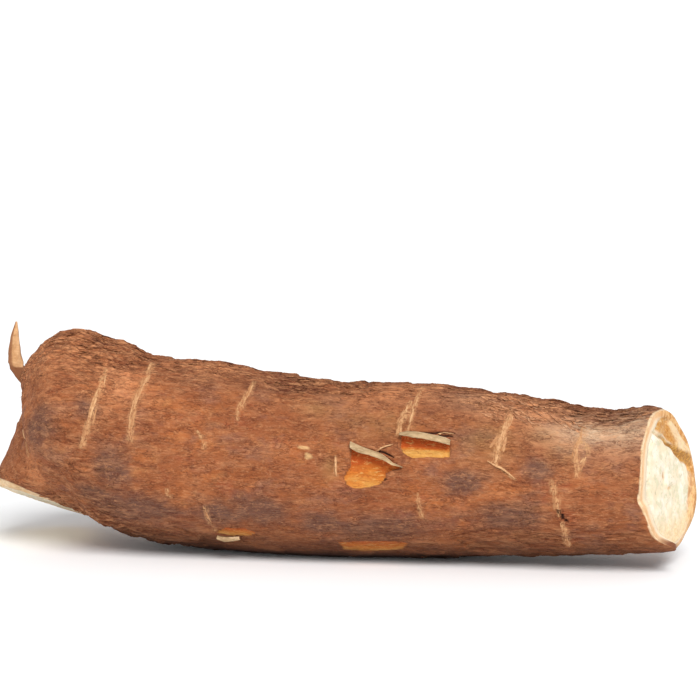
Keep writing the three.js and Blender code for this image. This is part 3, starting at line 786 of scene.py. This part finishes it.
def flesh_material():
    n = Nodes("flesh")
    patch, grains = n.noise(0.3, 0.3, 4, 0.62, 0.4), n.noise(1.0, 1.0, 5, 0.65)
    soft, fleck = n.noise(0.16, 0.16, 4, 0.6), n.noise(0.75, 0.75, 3, 0.5, 0.6, high=0.5)
    speckled = n.ramp(grains, 0.4, 0.6)
    torn = n.layers(
        n.mix(n.ramp(grains, 0.42, 0.6), (200, 146, 76), (180, 118, 48)),
        (patch, 0.5, 0.62, 0.75, (222, 186, 134)),
        (n.mask("back"), 0, 1, 0.7, (238, 212, 172)),
        (fleck, 0.58, 0.7, 0.6, (170, 108, 50)),
    )
    colour = n.layers(
        n.mix(n.ramp(soft, 0.4, 0.6), (240, 228, 210), (230, 211, 180)),
        (patch, 0.49, 0.6, 0.8, (206, 200, 168)),
        (grains, 0.54, 0.7, 0.45, (230, 216, 180)),
        (fleck, 0.62, 0.7, 0.75, (176, 168, 132)),
        (n.mask("cream"), 0, 1, 0.75, n.mix(speckled, (236, 210, 168), (222, 184, 130))),
        (n.mask("broken"), 0.2, 0.9, 1, torn),
        (n.mask("crevice"), 0.25, 0.8, 1, n.mix(speckled, (212, 158, 74), (160, 108, 48))),
        (n.mask("edge"), 0.2, 1, 0.85, n.mix(n.ramp(patch, 0.42, 0.56), (238, 190, 126), (196, 128, 58))),
    )
    n.shader.inputs["Subsurface Weight"].default_value = 0.12
    n.shader.inputs["Subsurface Radius"].default_value = (0.004, 0.003, 0.002)
    n.shader.inputs["Subsurface Scale"].default_value = 0.4
    return n.finish(colour, 0.45, 0.75, grains, n.bumps((grains, 0.6, 0.6)))


# The cut faces, as heights in mm over the plane of the section, by share of the way to the rim and turn
RIND = 0.9  # share of the way to the rim at which the rind starts
SLAB = 1.8  # mm, the depth of the neck's slab of flesh
THICKER = 3.5  # mm, how much deeper the thin end's slab is
ROOM = 1  # mm under a slab
END_STRETCH = 15  # mm of the skin that follow a cut's height


def cut_height(end, share, round_):
    """Height, and masks, of a cut face at a share of the way from its middle to its rim."""
    across, upward = -share * np.sin(round_), share * np.cos(round_)
    plane = np.stack([across * 24, upward * 24, np.full_like(across, 7.0 * (1 + end))], -1)
    lumps = grain_noise(plane, 7, 7, 201 + end, 3) - 0.5
    small = grain_noise(plane, 1.8, 1.8, 211 + end, 2) - 0.5
    if end == 0:
        flesh = 0.9 * lumps + 0.35 * small - 0.5 * (1 - share)
        rim = 0.5 * (noise(0.5, (round_ / (2 * np.pi)) * 13, 13, 12) - 0.5)
        height = flesh + (rim - flesh) * smoothstep(share, 0.84, 0.97)
        return height, {"cream": smoothstep(share, 0.6, 0.9)}
    past = 0.453 * across + 0.89 * upward - 0.44
    wander = past + 0.12 * (grain_noise(plane, 5, 5, 221, 2) - 0.5)
    broken = smoothstep(past, 0, 0.5)
    run = 0.45 + 0.55 * smoothstep(across, -0.4, 0.3)
    wide = 0.028 + 0.05 * smoothstep(across, 0.0, 0.45)
    crevice = np.exp(-((wander / wide) ** 2)) * run
    slit = np.exp(-(((across + 0.315) / 0.035) ** 2) - ((upward - 0.083) / 0.09) ** 2)
    slit += 0.6 * np.exp(-(((across + 0.12) / 0.1) ** 2) - ((upward + 0.1) / 0.035) ** 2)

    def turned(low, high):
        return smoothstep(round_, math.radians(low), math.radians(high))

    front = 1.1 * turned(99, 107) - turned(80, 99) - 0.9
    back = 1.3 * turned(205, 235) - turned(240, 270)
    tongue = 4.6 * np.exp(-(((round_ - math.radians(154)) / math.radians(11)) ** 2))
    ragged = 0.9 * (noise(0.5, (round_ / (2 * np.pi)) * 17, 17, 14) - 0.5)
    rough = 1.5 * lumps + 0.5 * small
    torn = smoothstep(wander, 0, 0.1)
    flesh = 0.6 + rough * (1 + 1.1 * torn) - 3.4 * broken - 2.2 * crevice - 1.6 * slit
    rim = front + back + tongue + ragged - 1.2 * broken
    height = flesh + (rim - flesh) * smoothstep(share, 0.84, 0.95)
    far = smoothstep(across, 0.3, 0.6) * smoothstep(-upward, -0.35, 0.1)
    cream = smoothstep(share + 0.25 * lumps, 0.62, 0.9) * smoothstep(across, -0.5, 0.3)
    masks = {
        "broken": torn,
        "crevice": np.clip(1.2 * run * np.exp(-(((wander - 0.4 * wide) / (1.4 * wide)) ** 2)) + slit, 0, 1),
        "back": smoothstep(across + 0.3 * lumps, 0.2, 0.42),
        "edge": far * smoothstep(share + 0.4 * lumps, 0.5, 0.62),
        "cream": cream + 0.8 * smoothstep(-upward, 0.35, 0.7),
    }
    return height, masks


def cut_normal(along):
    """The way out of a section's plane, towards the thin end."""
    _, up, side = section(along)
    normal = np.cross(side, up)
    return normal / np.linalg.norm(normal, axis=-1, keepdims=True)


def cut_points(end, share, round_, lift):
    """Points of a cut face's plane, moved out by lift mm. end is 0 at the neck, 1 at the thin end."""
    along = np.full_like(round_, LENGTH * end)
    centre = section(along)[0]
    rim = bark(along, round_)[0] - centre
    outward = cut_normal(along) * (1 if end else -1)
    return centre + rim * np.asarray(share)[..., None] + outward * np.asarray(lift)[..., None]


# The bark and the rind's rings on both cuts, one closed mesh. The rings lie at these shares of the way to the
# rim, the first two of them under the flesh.
COLUMNS = 400
ROWS = 234
RINGS = (0.2, 0.86, RIND, 0.93, 0.965)


def ring_faces(rings, columns):
    """Faces of a tube through rings of points."""
    j = np.arange(columns)
    following = (j + 1) % columns
    starts = columns * np.arange(rings - 1)[:, None]
    a, b = starts + j, starts + following
    return np.stack([a, b, b + columns, a + columns], -1).reshape(-1, 4)


def skin_grid():
    """Places of the skin's rows and columns: closer across the front and at the nicks and cuts."""

    def rows(a):
        nicks = 0.9 * smoothstep(a, 132, 138) * (1 - smoothstep(a, 178, 184))
        return 1 + nicks + (1.4 * (1 - smoothstep(a, 2.5, 5)) + 0.8 * smoothstep(a, LENGTH - 4, LENGTH - 2))

    def columns(r):
        return 1 + 0.45 * np.cos(r - math.radians(75))

    return spaced(0, LENGTH, ROWS, rows), spaced(0, 2 * np.pi, COLUMNS + 1, columns)[:-1]


class Skin:
    """The skin's points on its grid, which the loose pieces are laid on."""

    def __init__(self):
        self.alongs, self.rounds = skin_grid()
        along, round_ = np.meshgrid(self.alongs, self.rounds, indexing="ij")
        self.points, self.masks = bark(along, round_)
        for end in (0, 1):
            height = cut_height(end, np.ones(COLUMNS), self.rounds)[0]
            gap = along if end == 0 else LENGTH - along
            pull = (1 - smoothstep(gap, 0, END_STRETCH))[..., None] * height[None, :, None]
            self.points = self.points + pull * cut_normal(along) * (1 if end else -1)
        self.points[..., 2] = np.maximum(self.points[..., 2], 0)
        lengthwise = np.gradient(self.points, axis=0)
        around = np.roll(self.points, -1, 1) - np.roll(self.points, 1, 1)
        soft = np.cross(around, lengthwise)
        soft /= np.linalg.norm(soft, axis=-1, keepdims=True)
        outward = self.points - section(along)[0]
        self.normals = soft * np.sign((soft * outward).sum(-1))[..., None]

    def at(self, along, round_):
        """Points and normals of the skin at places on it."""
        i = np.interp(along, self.alongs, np.arange(ROWS))
        turned = np.mod(round_, 2 * np.pi)
        j = np.interp(turned, np.append(self.rounds, 2 * np.pi), np.arange(COLUMNS + 1))
        i0, j0 = np.clip(np.floor(i).astype(int), 0, ROWS - 2), np.floor(j).astype(int)
        s, t = (i - i0)[..., None], (j - j0)[..., None]
        found = []
        for grid in (self.points, self.normals):
            near = grid[i0, j0 % COLUMNS] * (1 - s) + grid[i0 + 1, j0 % COLUMNS] * s
            far = grid[i0, (j0 + 1) % COLUMNS] * (1 - s) + grid[i0 + 1, (j0 + 1) % COLUMNS] * s
            found.append(near * (1 - t) + far * t)
        return found[0], found[1] / np.linalg.norm(found[1], axis=-1, keepdims=True)


def build_skin(skin, bark_look, rind_look):
    """The bark and the rind, with the skin's masks on the bark and the rings' own on the rind."""

    def rings(end):
        """The rind's rings on a cut: the first two flat, the others with the cut's height."""
        made = []
        for share in RINGS:
            shares = np.full(COLUMNS, share)
            lift = cut_height(end, shares, skin.rounds)[0]
            if share < RIND:
                lift = np.full(COLUMNS, -(SLAB + ROOM + THICKER * end))
            made.append(cut_points(end, shares, skin.rounds, lift))
        return made

    points = np.concatenate([*rings(0), *skin.points, *rings(1)[::-1]])
    covered = len(RINGS) * COLUMNS
    faces = ring_faces(len(points) // COLUMNS, COLUMNS).tolist()
    faces += [list(range(COLUMNS)), list(range(len(points) - COLUMNS, len(points)))[::-1]]
    on_rind = np.zeros(len(faces), int)
    on_rind[:covered] = 1
    on_rind[-covered - 2 :] = 1
    masks = {key: np.pad(values.ravel(), covered) for key, values in skin.masks.items()}
    far = np.clip(-np.sin(skin.rounds - math.radians(20)) * 1.5, 0, 1)
    # Each mask goes from the skin's last row to the thin end's inmost ring
    for key, values, shares in (
        ("stain", far, (1, 1, 1, 1, 1, 1)),
        ("skinned", tongue_at(skin.rounds), (1, 1, 0.8, 0.2, 0, 0)),
        ("inner", 1 - far, (0, 0, 0.5, 0.9, 1, 1)),
    ):
        last = np.outer(shares, values).ravel()
        masks[key] = np.pad(last, (len(points) - len(last), 0))
    obj = make_mesh("root_skin", points, faces, [bark_look, rind_look], on_rind, masks)
    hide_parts("cassava_root")


def build_cut(name, end, look):
    """A slab of flesh with the cut's surface, set into the rind's ring."""
    columns, count = 240, 60
    rounds = np.linspace(0, 2 * np.pi, columns, endpoint=False)

    def ring(share, lift):
        return cut_points(end, np.full(columns, share), rounds, lift)

    rings, masks = [ring(RIND * 0.99, np.full(columns, -(SLAB + THICKER * end)))], []
    for share in RIND * np.linspace(1, 0, count, endpoint=False):
        height, face_masks = cut_height(end, np.full(columns, share), rounds)
        rings.append(ring(share, height))
        masks.append(face_masks)
    masks.insert(0, masks[0])
    vertices = np.vstack([np.concatenate(rings), rings[-1].mean(0)])
    last, centre = (len(rings) - 1) * columns, len(vertices) - 1
    faces = ring_faces(len(rings), columns).tolist() + [list(range(columns))[::-1]]
    faces += [[last + j, last + (j + 1) % columns, centre] for j in range(columns)]
    if end == 0:
        faces = [f[::-1] for f in faces]
    joined = {key: np.concatenate([m[key] for m in masks] + [[masks[-1][key].mean()]]) for key in masks[0]}
    make_mesh(name, vertices, faces, [look], masks=joined)


def ribbons(name, skin, along, round_, half, lifts, thick, look, masks):
    """Thin closed strips on the skin, a row of places each. lifts are the heights of a strip's two edges."""
    points, normals = skin.at(along, round_)
    across = np.cross(normals, np.gradient(points, axis=1))
    across /= np.linalg.norm(across, axis=-1, keepdims=True)
    reach = half[..., None] * across
    low, high = (points + k * reach + h[..., None] * normals for k, h in zip((-1, 1), lifts))
    strips = np.stack([low, high, high - thick * normals, low - thick * normals], 2)
    count, steps = along.shape
    ends = np.array([[0, 1, 2, 3], [4 * steps - 1, 4 * steps - 2, 4 * steps - 3, 4 * steps - 4]])
    one = np.concatenate([ring_faces(steps, 4)[:, [0, 3, 2, 1]], ends])
    faces = (one[None] + 4 * steps * np.arange(count)[:, None, None]).reshape(-1, 4)
    spread = {key: np.broadcast_to(v, strips.shape[:3]).ravel() for key, v in masks.items()}
    make_mesh(name, strips.reshape(-1, 3), faces.tolist(), [look], masks=spread, smooth=False)


def build_flakes(skin, look):
    """Loose flakes of bark along the grain, most on top and towards the ends, lifted along one edge."""
    draw = np.random.default_rng(7)
    tries, wanted, steps = 60000, 2900, 7
    along = draw.uniform(3, LENGTH - 7, tries)
    round_ = draw.uniform(0, 2 * np.pi, tries)
    i = np.searchsorted(skin.alongs, along).clip(0, ROWS - 1)
    j = np.searchsorted(skin.rounds, round_).clip(0, COLUMNS - 1)
    chance = skin.masks["shaggy"][i, j] ** 2.5 * (1 - skin.masks["scar"][i, j])
    clear = skin.points[i, j, 2] > 1.5
    for outline, *_ in NICKS:
        clear &= outline_depth(along, round_, outline) < -2.5
    keep = np.flatnonzero(clear & (draw.uniform(0, 1, tries) < 0.35 * chance + 0.008))[:wanted]
    along, round_, i, j = along[keep], round_[keep], i[keep], j[keep]
    shaggy = skin.masks["shaggy"][i, j]
    count = len(keep)
    length = draw.uniform(2.2, 4.5 + 6.5 * shaggy**2, count)[:, None]
    wide = draw.uniform(0.25, 0.45 + 0.5 * shaggy, count)[:, None]
    lift = draw.uniform(0.08, 0.14 + 0.5 * shaggy**1.5, count)[:, None]
    skew, bend = (draw.normal(0, spread, count)[:, None] for spread in (0.09, 0.15))
    ahead, sideways = (v[:, None] for v in grain_step(along, round_))
    s = np.linspace(-0.5, 0.5, steps)[None]
    profile = (1 - (2 * s) ** 2 * 0.85) * draw.uniform(0.65, 1.2, (count, steps))
    alongs = np.clip(along[:, None] + s * length * ahead, 1, LENGTH - 1)
    rounds = round_[:, None] + (s * (sideways + skew / 30) + s**2 * bend / 30) * length
    lifted = lift * (0.55 + 0.45 * draw.uniform(0, 1, (count, steps))) * (1 - (2 * s) ** 2 * 0.4)
    low = np.full((count, steps), -0.2)
    flip = draw.uniform(0, 1, count)[:, None] < 0.12
    lifts = (np.where(flip, low, lifted), np.where(flip, lifted, low))
    # A painted highlight along the flake's lifted edge
    edge_highlight = [np.where(flip, 0.0, 0.7), np.where(flip, 0.7, 0.0)]
    masks = {
        "layer": draw.uniform(0.4, 0.85, count)[:, None, None],
        "edge_highlight": np.stack([edge_highlight[0], edge_highlight[1], edge_highlight[1], edge_highlight[0]], -1),
    }
    # The flakes take the skin's painted shade along the top and towards the bottom as well
    for key in ("shaggy", "top", "low", "tan", "bright", "grey"):
        masks[key] = skin.masks[key][i, j][:, None, None]
    ribbons("bark_flakes", skin, alongs, rounds, wide * profile, lifts, 0.14, look, masks)


def along_path(path, t):
    """Places at shares t of the way along a path."""
    share = np.linspace(0, 1, len(path))
    a, r = np.array(path, float).T
    return np.interp(t, share, a), np.radians(np.interp(t, share, r))


def in_columns(rows):
    """Rows of places along, places round and some values, as an array of each, the values as columns."""
    along, round_, *values = (np.array(v) for v in zip(*rows))
    return along, round_, *(v[:, None] for v in values)


def build_fibres(skin, look):
    """Corky fibres that run down each scar, split and broken, and fibres that stand off the nicks."""
    draw = np.random.default_rng(5)
    steps = 12
    rows = []
    for path, wide in SCARS + hidden_scars():
        span = math.radians(path[-1][1] - path[0][1]) * radius_at(path[0][0])
        for _ in range(max(2, int(abs(span) * wide * 0.4))):
            start = draw.uniform(0, 0.85)
            reach = draw.uniform(0.12, 0.4)
            a, r = along_path(path, np.clip(start + reach * np.linspace(0, 1, steps), 0, 1))
            side = draw.normal(0, 0.45) * wide + draw.normal(0, 0.16) * wide * np.linspace(-1, 1, steps)
            looks = draw.uniform(0.12, 0.2 + 0.16 * wide), draw.uniform(0.05, 0.2), draw.uniform(0.1, 0.9)
            rows.append((a + side, r, *looks))
    rows += [(*along_path(path, np.linspace(0, 1, steps)), 0.3, 0.7, 1.1) for path in FIBRES]
    along, round_, half, lift, tone = in_columns(rows)
    s = np.linspace(-1, 1, steps)[None]
    half = half * (1 - 0.8 * s**4) * draw.uniform(0.7, 1.2, along.shape)
    lift = lift * (1 - 0.7 * s**2)
    masks = {"tone": tone[..., None]}
    ribbons("scar_fibres", skin, along, round_, half, (lift, lift * 0.6), 0.3, look, masks)


def build_strands(skin, look):
    """Long strands that split off the bark at the thin end's shoulder, lifted along their lower edge."""
    draw = np.random.default_rng(17)
    steps = 26
    rows = []
    for path in STRANDS:
        for shift in (0, 1, 2):
            # Only the strands beside a path are cut short, but each makes the same draws
            start, end = (draw.uniform(0, 0.3) * (shift > 0) for _ in range(2))
            a, r = along_path(path, np.linspace(start, 1 - end, steps))
            wave = 0.02 * np.cumsum(draw.normal(0, 0.25, steps))
            r = r + math.radians(3.2) * (shift - draw.uniform(0, 0.4)) + wave - wave.mean()
            rows.append((a, r, draw.uniform(0.35, 0.75), draw.uniform(0.15, 0.42), draw.uniform(0.3, 1)))
    along, round_, half, lift, tone = in_columns(rows)
    s = np.linspace(-1, 1, steps)[None]
    half = half * (1 - 0.85 * s**4) * draw.uniform(0.7, 1.15, along.shape)
    lift = lift * (1 - 0.6 * s**2) * draw.uniform(0.7, 1.1, along.shape)
    # A painted highlight along each strand's lifted lower edge
    masks = {"layer": tone[..., None], "tan": 0.8 * tone[..., None], "edge_highlight": (1.0, 0.0, 0.0, 1.0)}
    masks |= {"shaggy": 0.5, "bright": 0.6}
    under = np.full(along.shape, -0.15)
    ribbons("bark_strands", skin, along, round_, half, (lift, under), 0.16, look, masks)


def lofted(sections):
    """Faces of a closed surface through sections of equal counts, with flat ends."""
    rings, count = len(sections), len(sections[0])
    faces = ring_faces(rings, count).tolist()
    faces += [list(range(count))[::-1], list(range((rings - 1) * count, rings * count))]
    return np.concatenate(sections), faces


def build_flap(name, attached, free, stand, seed, look):
    """A strip of rind that curls out over a nick from its attached edge, ragged along its free edge."""
    steps, ribs = 56, 9
    t = np.linspace(0, 1, steps)
    a0, r0 = along_path(attached, t)
    a1, r1 = along_path(free, t)
    u = np.linspace(0, 1, ribs)[:, None]
    ragged = 0.16 * (noise(t * 9, 0.5, 99, seed) - 0.5) + 0.08 * (noise(t * 31, 0.5, 99, seed + 9) - 0.5)
    reach = u * (1 + ragged)
    base, outward = on_form(a0 + (a1 - a0) * reach, r0 + (r1 - r0) * reach)
    taper = 0.35 + 0.65 * np.sin(np.pi * np.clip(0.12 + 0.88 * t, 0, 1))
    rise = (0.75 + stand * taper) * u**0.7 + 0.3 * np.sin(np.pi * u) - 0.35
    rise = rise + 0.15 * noise(t * 9, u * 2, 99, 41)
    thick = 0.55 - 0.25 * u
    top, bottom = (base + outward * height[..., None] for height in (rise + thick, rise))
    vertices, faces = lofted(np.concatenate([top, bottom[::-1]]).transpose(1, 0, 2))
    if (r1 - r0).mean() < 0:
        faces = [f[::-1] for f in faces]
    none = np.zeros((ribs, steps))
    # A painted highlight along the top face's attached, upper edge, on the strip's later part
    pale = np.concatenate([none + 1 - 4 * u, none]).T.clip(0, 1) * smoothstep(t, 0.3, 0.7)[:, None]
    crust = np.concatenate([none, none + 0.3]).T
    make_mesh(name, vertices, faces, [look], masks={"pale": pale.ravel(), "crust": crust.ravel()})


def build_splinter(look):
    """The torn strip of rind that stands up at the neck's shoulder."""
    stations = np.array(
        [
            # x, y, z, width, thickness
            [-112.5, 1, 53.5, 3, 2.4],
            [-117.4, 0.6, 60, 4.8, 2.8],
            [-119.9, 0.1, 64, 5.8, 2.6],
            [-120.4, -0.1, 66.5, 5.5, 2.2],
            [-120.8, -0.3, 70, 4.8, 1.7],
            [-120.6, -0.3, 76, 3.3, 1.3],
            [-120, 0, 81.6, 0.7, 0.5],
        ]
    )
    broad, deep = np.array([0.954, 0.3, 0]), np.array([0.3, -0.954, 0])
    rings, sides = 55, 20
    angle = np.linspace(0, 2 * np.pi, sides, endpoint=False)
    sections, crust, pale = [], [], []
    for k in range(rings):
        t = k / (rings - 1) * (len(stations) - 1)
        i = min(int(t), len(stations) - 2)
        x, y, z, width, thick = stations[i] + (stations[i + 1] - stations[i]) * (t - i)
        width *= 0.94 + 0.12 * float(noise(t * 3, 2, 99, 18))
        bow = 0.12 * thick * (1 + np.cos(2 * angle)) + 0.12 * thick * np.sin(angle * 3 + 0.7 * z)
        lengths = 0.5 * width * np.cos(angle), 0.5 * thick * np.sin(angle) + bow
        sections.append(np.array([x, y, z]) + lengths[0][:, None] * broad + lengths[1][:, None] * deep)
        edges = 0.75 * smoothstep(-np.cos(angle), 0.15, 0.6) + 0.8 * smoothstep(np.cos(angle), 0.8, 1)
        crust.append(edges + (np.sin(angle) < -0.3) + 1 - smoothstep(z, 64, 65.5))
        pale.append(0.45 * smoothstep(np.cos(angle), -0.1, 0.5))
    vertices, faces = lofted(sections)
    masks = {"crust": np.clip(np.concatenate(crust), 0, 1), "pale": np.concatenate(pale)}
    make_mesh("neck_splinter", vertices, faces, [look], masks=masks)


def build_hairs(skin, look):
    """Fine dry rootlets that stick out of the bark, each a thin curved tube."""
    draw = np.random.default_rng(11)
    count, steps, sides = 64, 7, 3
    # Along, radians round, length in mm, the way it points. Those at the neck's front are thicker.
    hairs = [
        (19.5, 0.05, 5.2, (0.35, -0.1, 1.0)),
        (21.5, 0.06, 3.6, (0.75, -0.1, 0.5)),
        (26, 0.1, 1.8, (0.1, 0, 1.0)),
    ]
    for _ in range(count):
        hairs.append((draw.uniform(8, 236), draw.uniform(0, 2 * np.pi), draw.uniform(0.8, 2.2), None))
    u = np.linspace(0, 1, steps)[:, None, None]
    angle = (2 * np.pi * np.arange(sides) / sides)[:, None]
    vertices, faces = [], []
    for along, round_, length, way in hairs:
        points, normals = skin.at(np.array([along]), np.array([round_]))
        root_point, outward = points[0], normals[0]
        bend, lean = draw.normal(0, 0.4, 3), draw.normal(0, 0.6, 3)
        radius = draw.uniform(0.06, 0.1) * (2.6 if way else 1)
        if root_point[2] < 4:
            continue
        aim = np.array(way) if way else outward * 0.4 + lean
        aim = aim / np.linalg.norm(aim)
        side = np.cross(aim, [0.3, 0.2, 0.9])
        side /= np.linalg.norm(side)
        circle = side * np.cos(angle) + np.cross(aim, side) * np.sin(angle)
        middle = root_point - outward * 0.4 + aim * length * u + bend * length * u * u * 0.5
        tube, sheet = lofted(middle + radius * (1 - 0.7 * u) * circle)
        faces += [[steps * sides * len(vertices) + v for v in face] for face in sheet]
        vertices.append(tube)
    vertices = np.concatenate(vertices)
    # The hairs are made dark brown through the mask of the painted shade towards the bottom
    make_mesh("bark_hairs", vertices, faces, [look], masks={"low": np.full(len(vertices), 0.8)})


# The studio: the floor in m, the surround's strength by the height of a ray, the light over the front, and the
# camera, whose place is in mm in the solid's form
FLOOR = {"reach": 12.0, "colour": (0.97, 0.975, 0.98, 1), "rough": 0.8}
SURROUND = {"From Min": 0.16, "From Max": 0.4, "To Min": 1.15, "To Max": 0.5}
LIGHT = {"strength": 2.55, "spread": 36, "from": (0.45, -0.8, 1)}
CAMERA = {"lens": 85, "place": (128.0, -572.3, 120.2), "azimuth": 12, "elevation": 4.6}


def facing(direction):
    """The turn of a light or camera that lies in this direction and looks back."""
    return Vector(direction).to_track_quat("Z", "Y").to_euler()


def studio():
    """A white studio: floor, a surround that is brightest near the horizon, a broad light, and the camera."""
    scene = bpy.context.scene
    mesh = bpy.data.meshes.new("studio_floor")
    corners = [(x * FLOOR["reach"], y * FLOOR["reach"], 0) for x, y in ((-1, -1), (1, -1), (1, 1), (-1, 1))]
    mesh.from_pydata(corners, [], [(0, 1, 2, 3)])
    floor = placed("studio_floor", mesh)
    paint = Nodes("studio_floor")
    paint.shader.inputs["Base Color"].default_value = FLOOR["colour"]
    paint.shader.inputs["Roughness"].default_value = FLOOR["rough"]
    paint.shader.inputs["Specular IOR Level"].default_value = 0.0
    mesh.materials.append(paint.material)

    world = bpy.data.worlds.new("studio")
    world.use_nodes = True
    tree = world.node_tree
    background = tree.nodes["Background"]
    background.inputs["Color"].default_value = (1, 1, 1, 1)
    kinds = ("TexCoord", "SeparateXYZ", "MapRange")
    coords, apart, rise = (tree.nodes.new("ShaderNode" + kind) for kind in kinds)
    tree.links.new(coords.outputs["Generated"], apart.inputs["Vector"])
    tree.links.new(apart.outputs["Z"], rise.inputs["Value"])
    for key, value in SURROUND.items():
        rise.inputs[key].default_value = value
    tree.links.new(rise.outputs["Result"], background.inputs["Strength"])
    scene.world = world

    sun = bpy.data.lights.new("sky_light", "SUN")
    sun.energy = LIGHT["strength"]
    sun.angle = math.radians(LIGHT["spread"])
    placed("sky_light", sun).rotation_euler = facing(LIGHT["from"])

    data = bpy.data.cameras.new("camera")
    data.lens = CAMERA["lens"]
    camera = placed("camera", data)
    azimuth, elevation = math.radians(CAMERA["azimuth"]), math.radians(CAMERA["elevation"])
    level = math.cos(elevation)
    back = (math.sin(azimuth) * level, -math.cos(azimuth) * level, math.sin(elevation))
    camera.location = (Vector(CAMERA["place"]) - Vector(ORIGIN)) / 1000
    camera.rotation_euler = facing(back)
    scene.camera = camera
    scene.view_settings.view_transform = "Standard"
    scene.view_settings.look = "None"


root = Skin()
bark_look = bark_material()
flap_look = flap_material("peel_flap", (158, 130, 94), (192, 162, 122), (232, 204, 166))
torn_look = flap_material("torn_strip", (196, 144, 96), (216, 168, 120), (232, 190, 146))
flesh_look = flesh_material()
build_skin(root, bark_look, rind_material())
build_cut("thin_end_flesh", 1, flesh_look)
build_cut("neck_flesh", 0, flesh_look)
for number, flap in enumerate(FLAPS):
    build_flap(f"peel_flap_{number + 1}", *flap, flap_look)
build_splinter(torn_look)
build_flakes(root, bark_look)
build_strands(root, bark_look)
build_fibres(root, fibre_material())
build_hairs(root, bark_look)
studio()
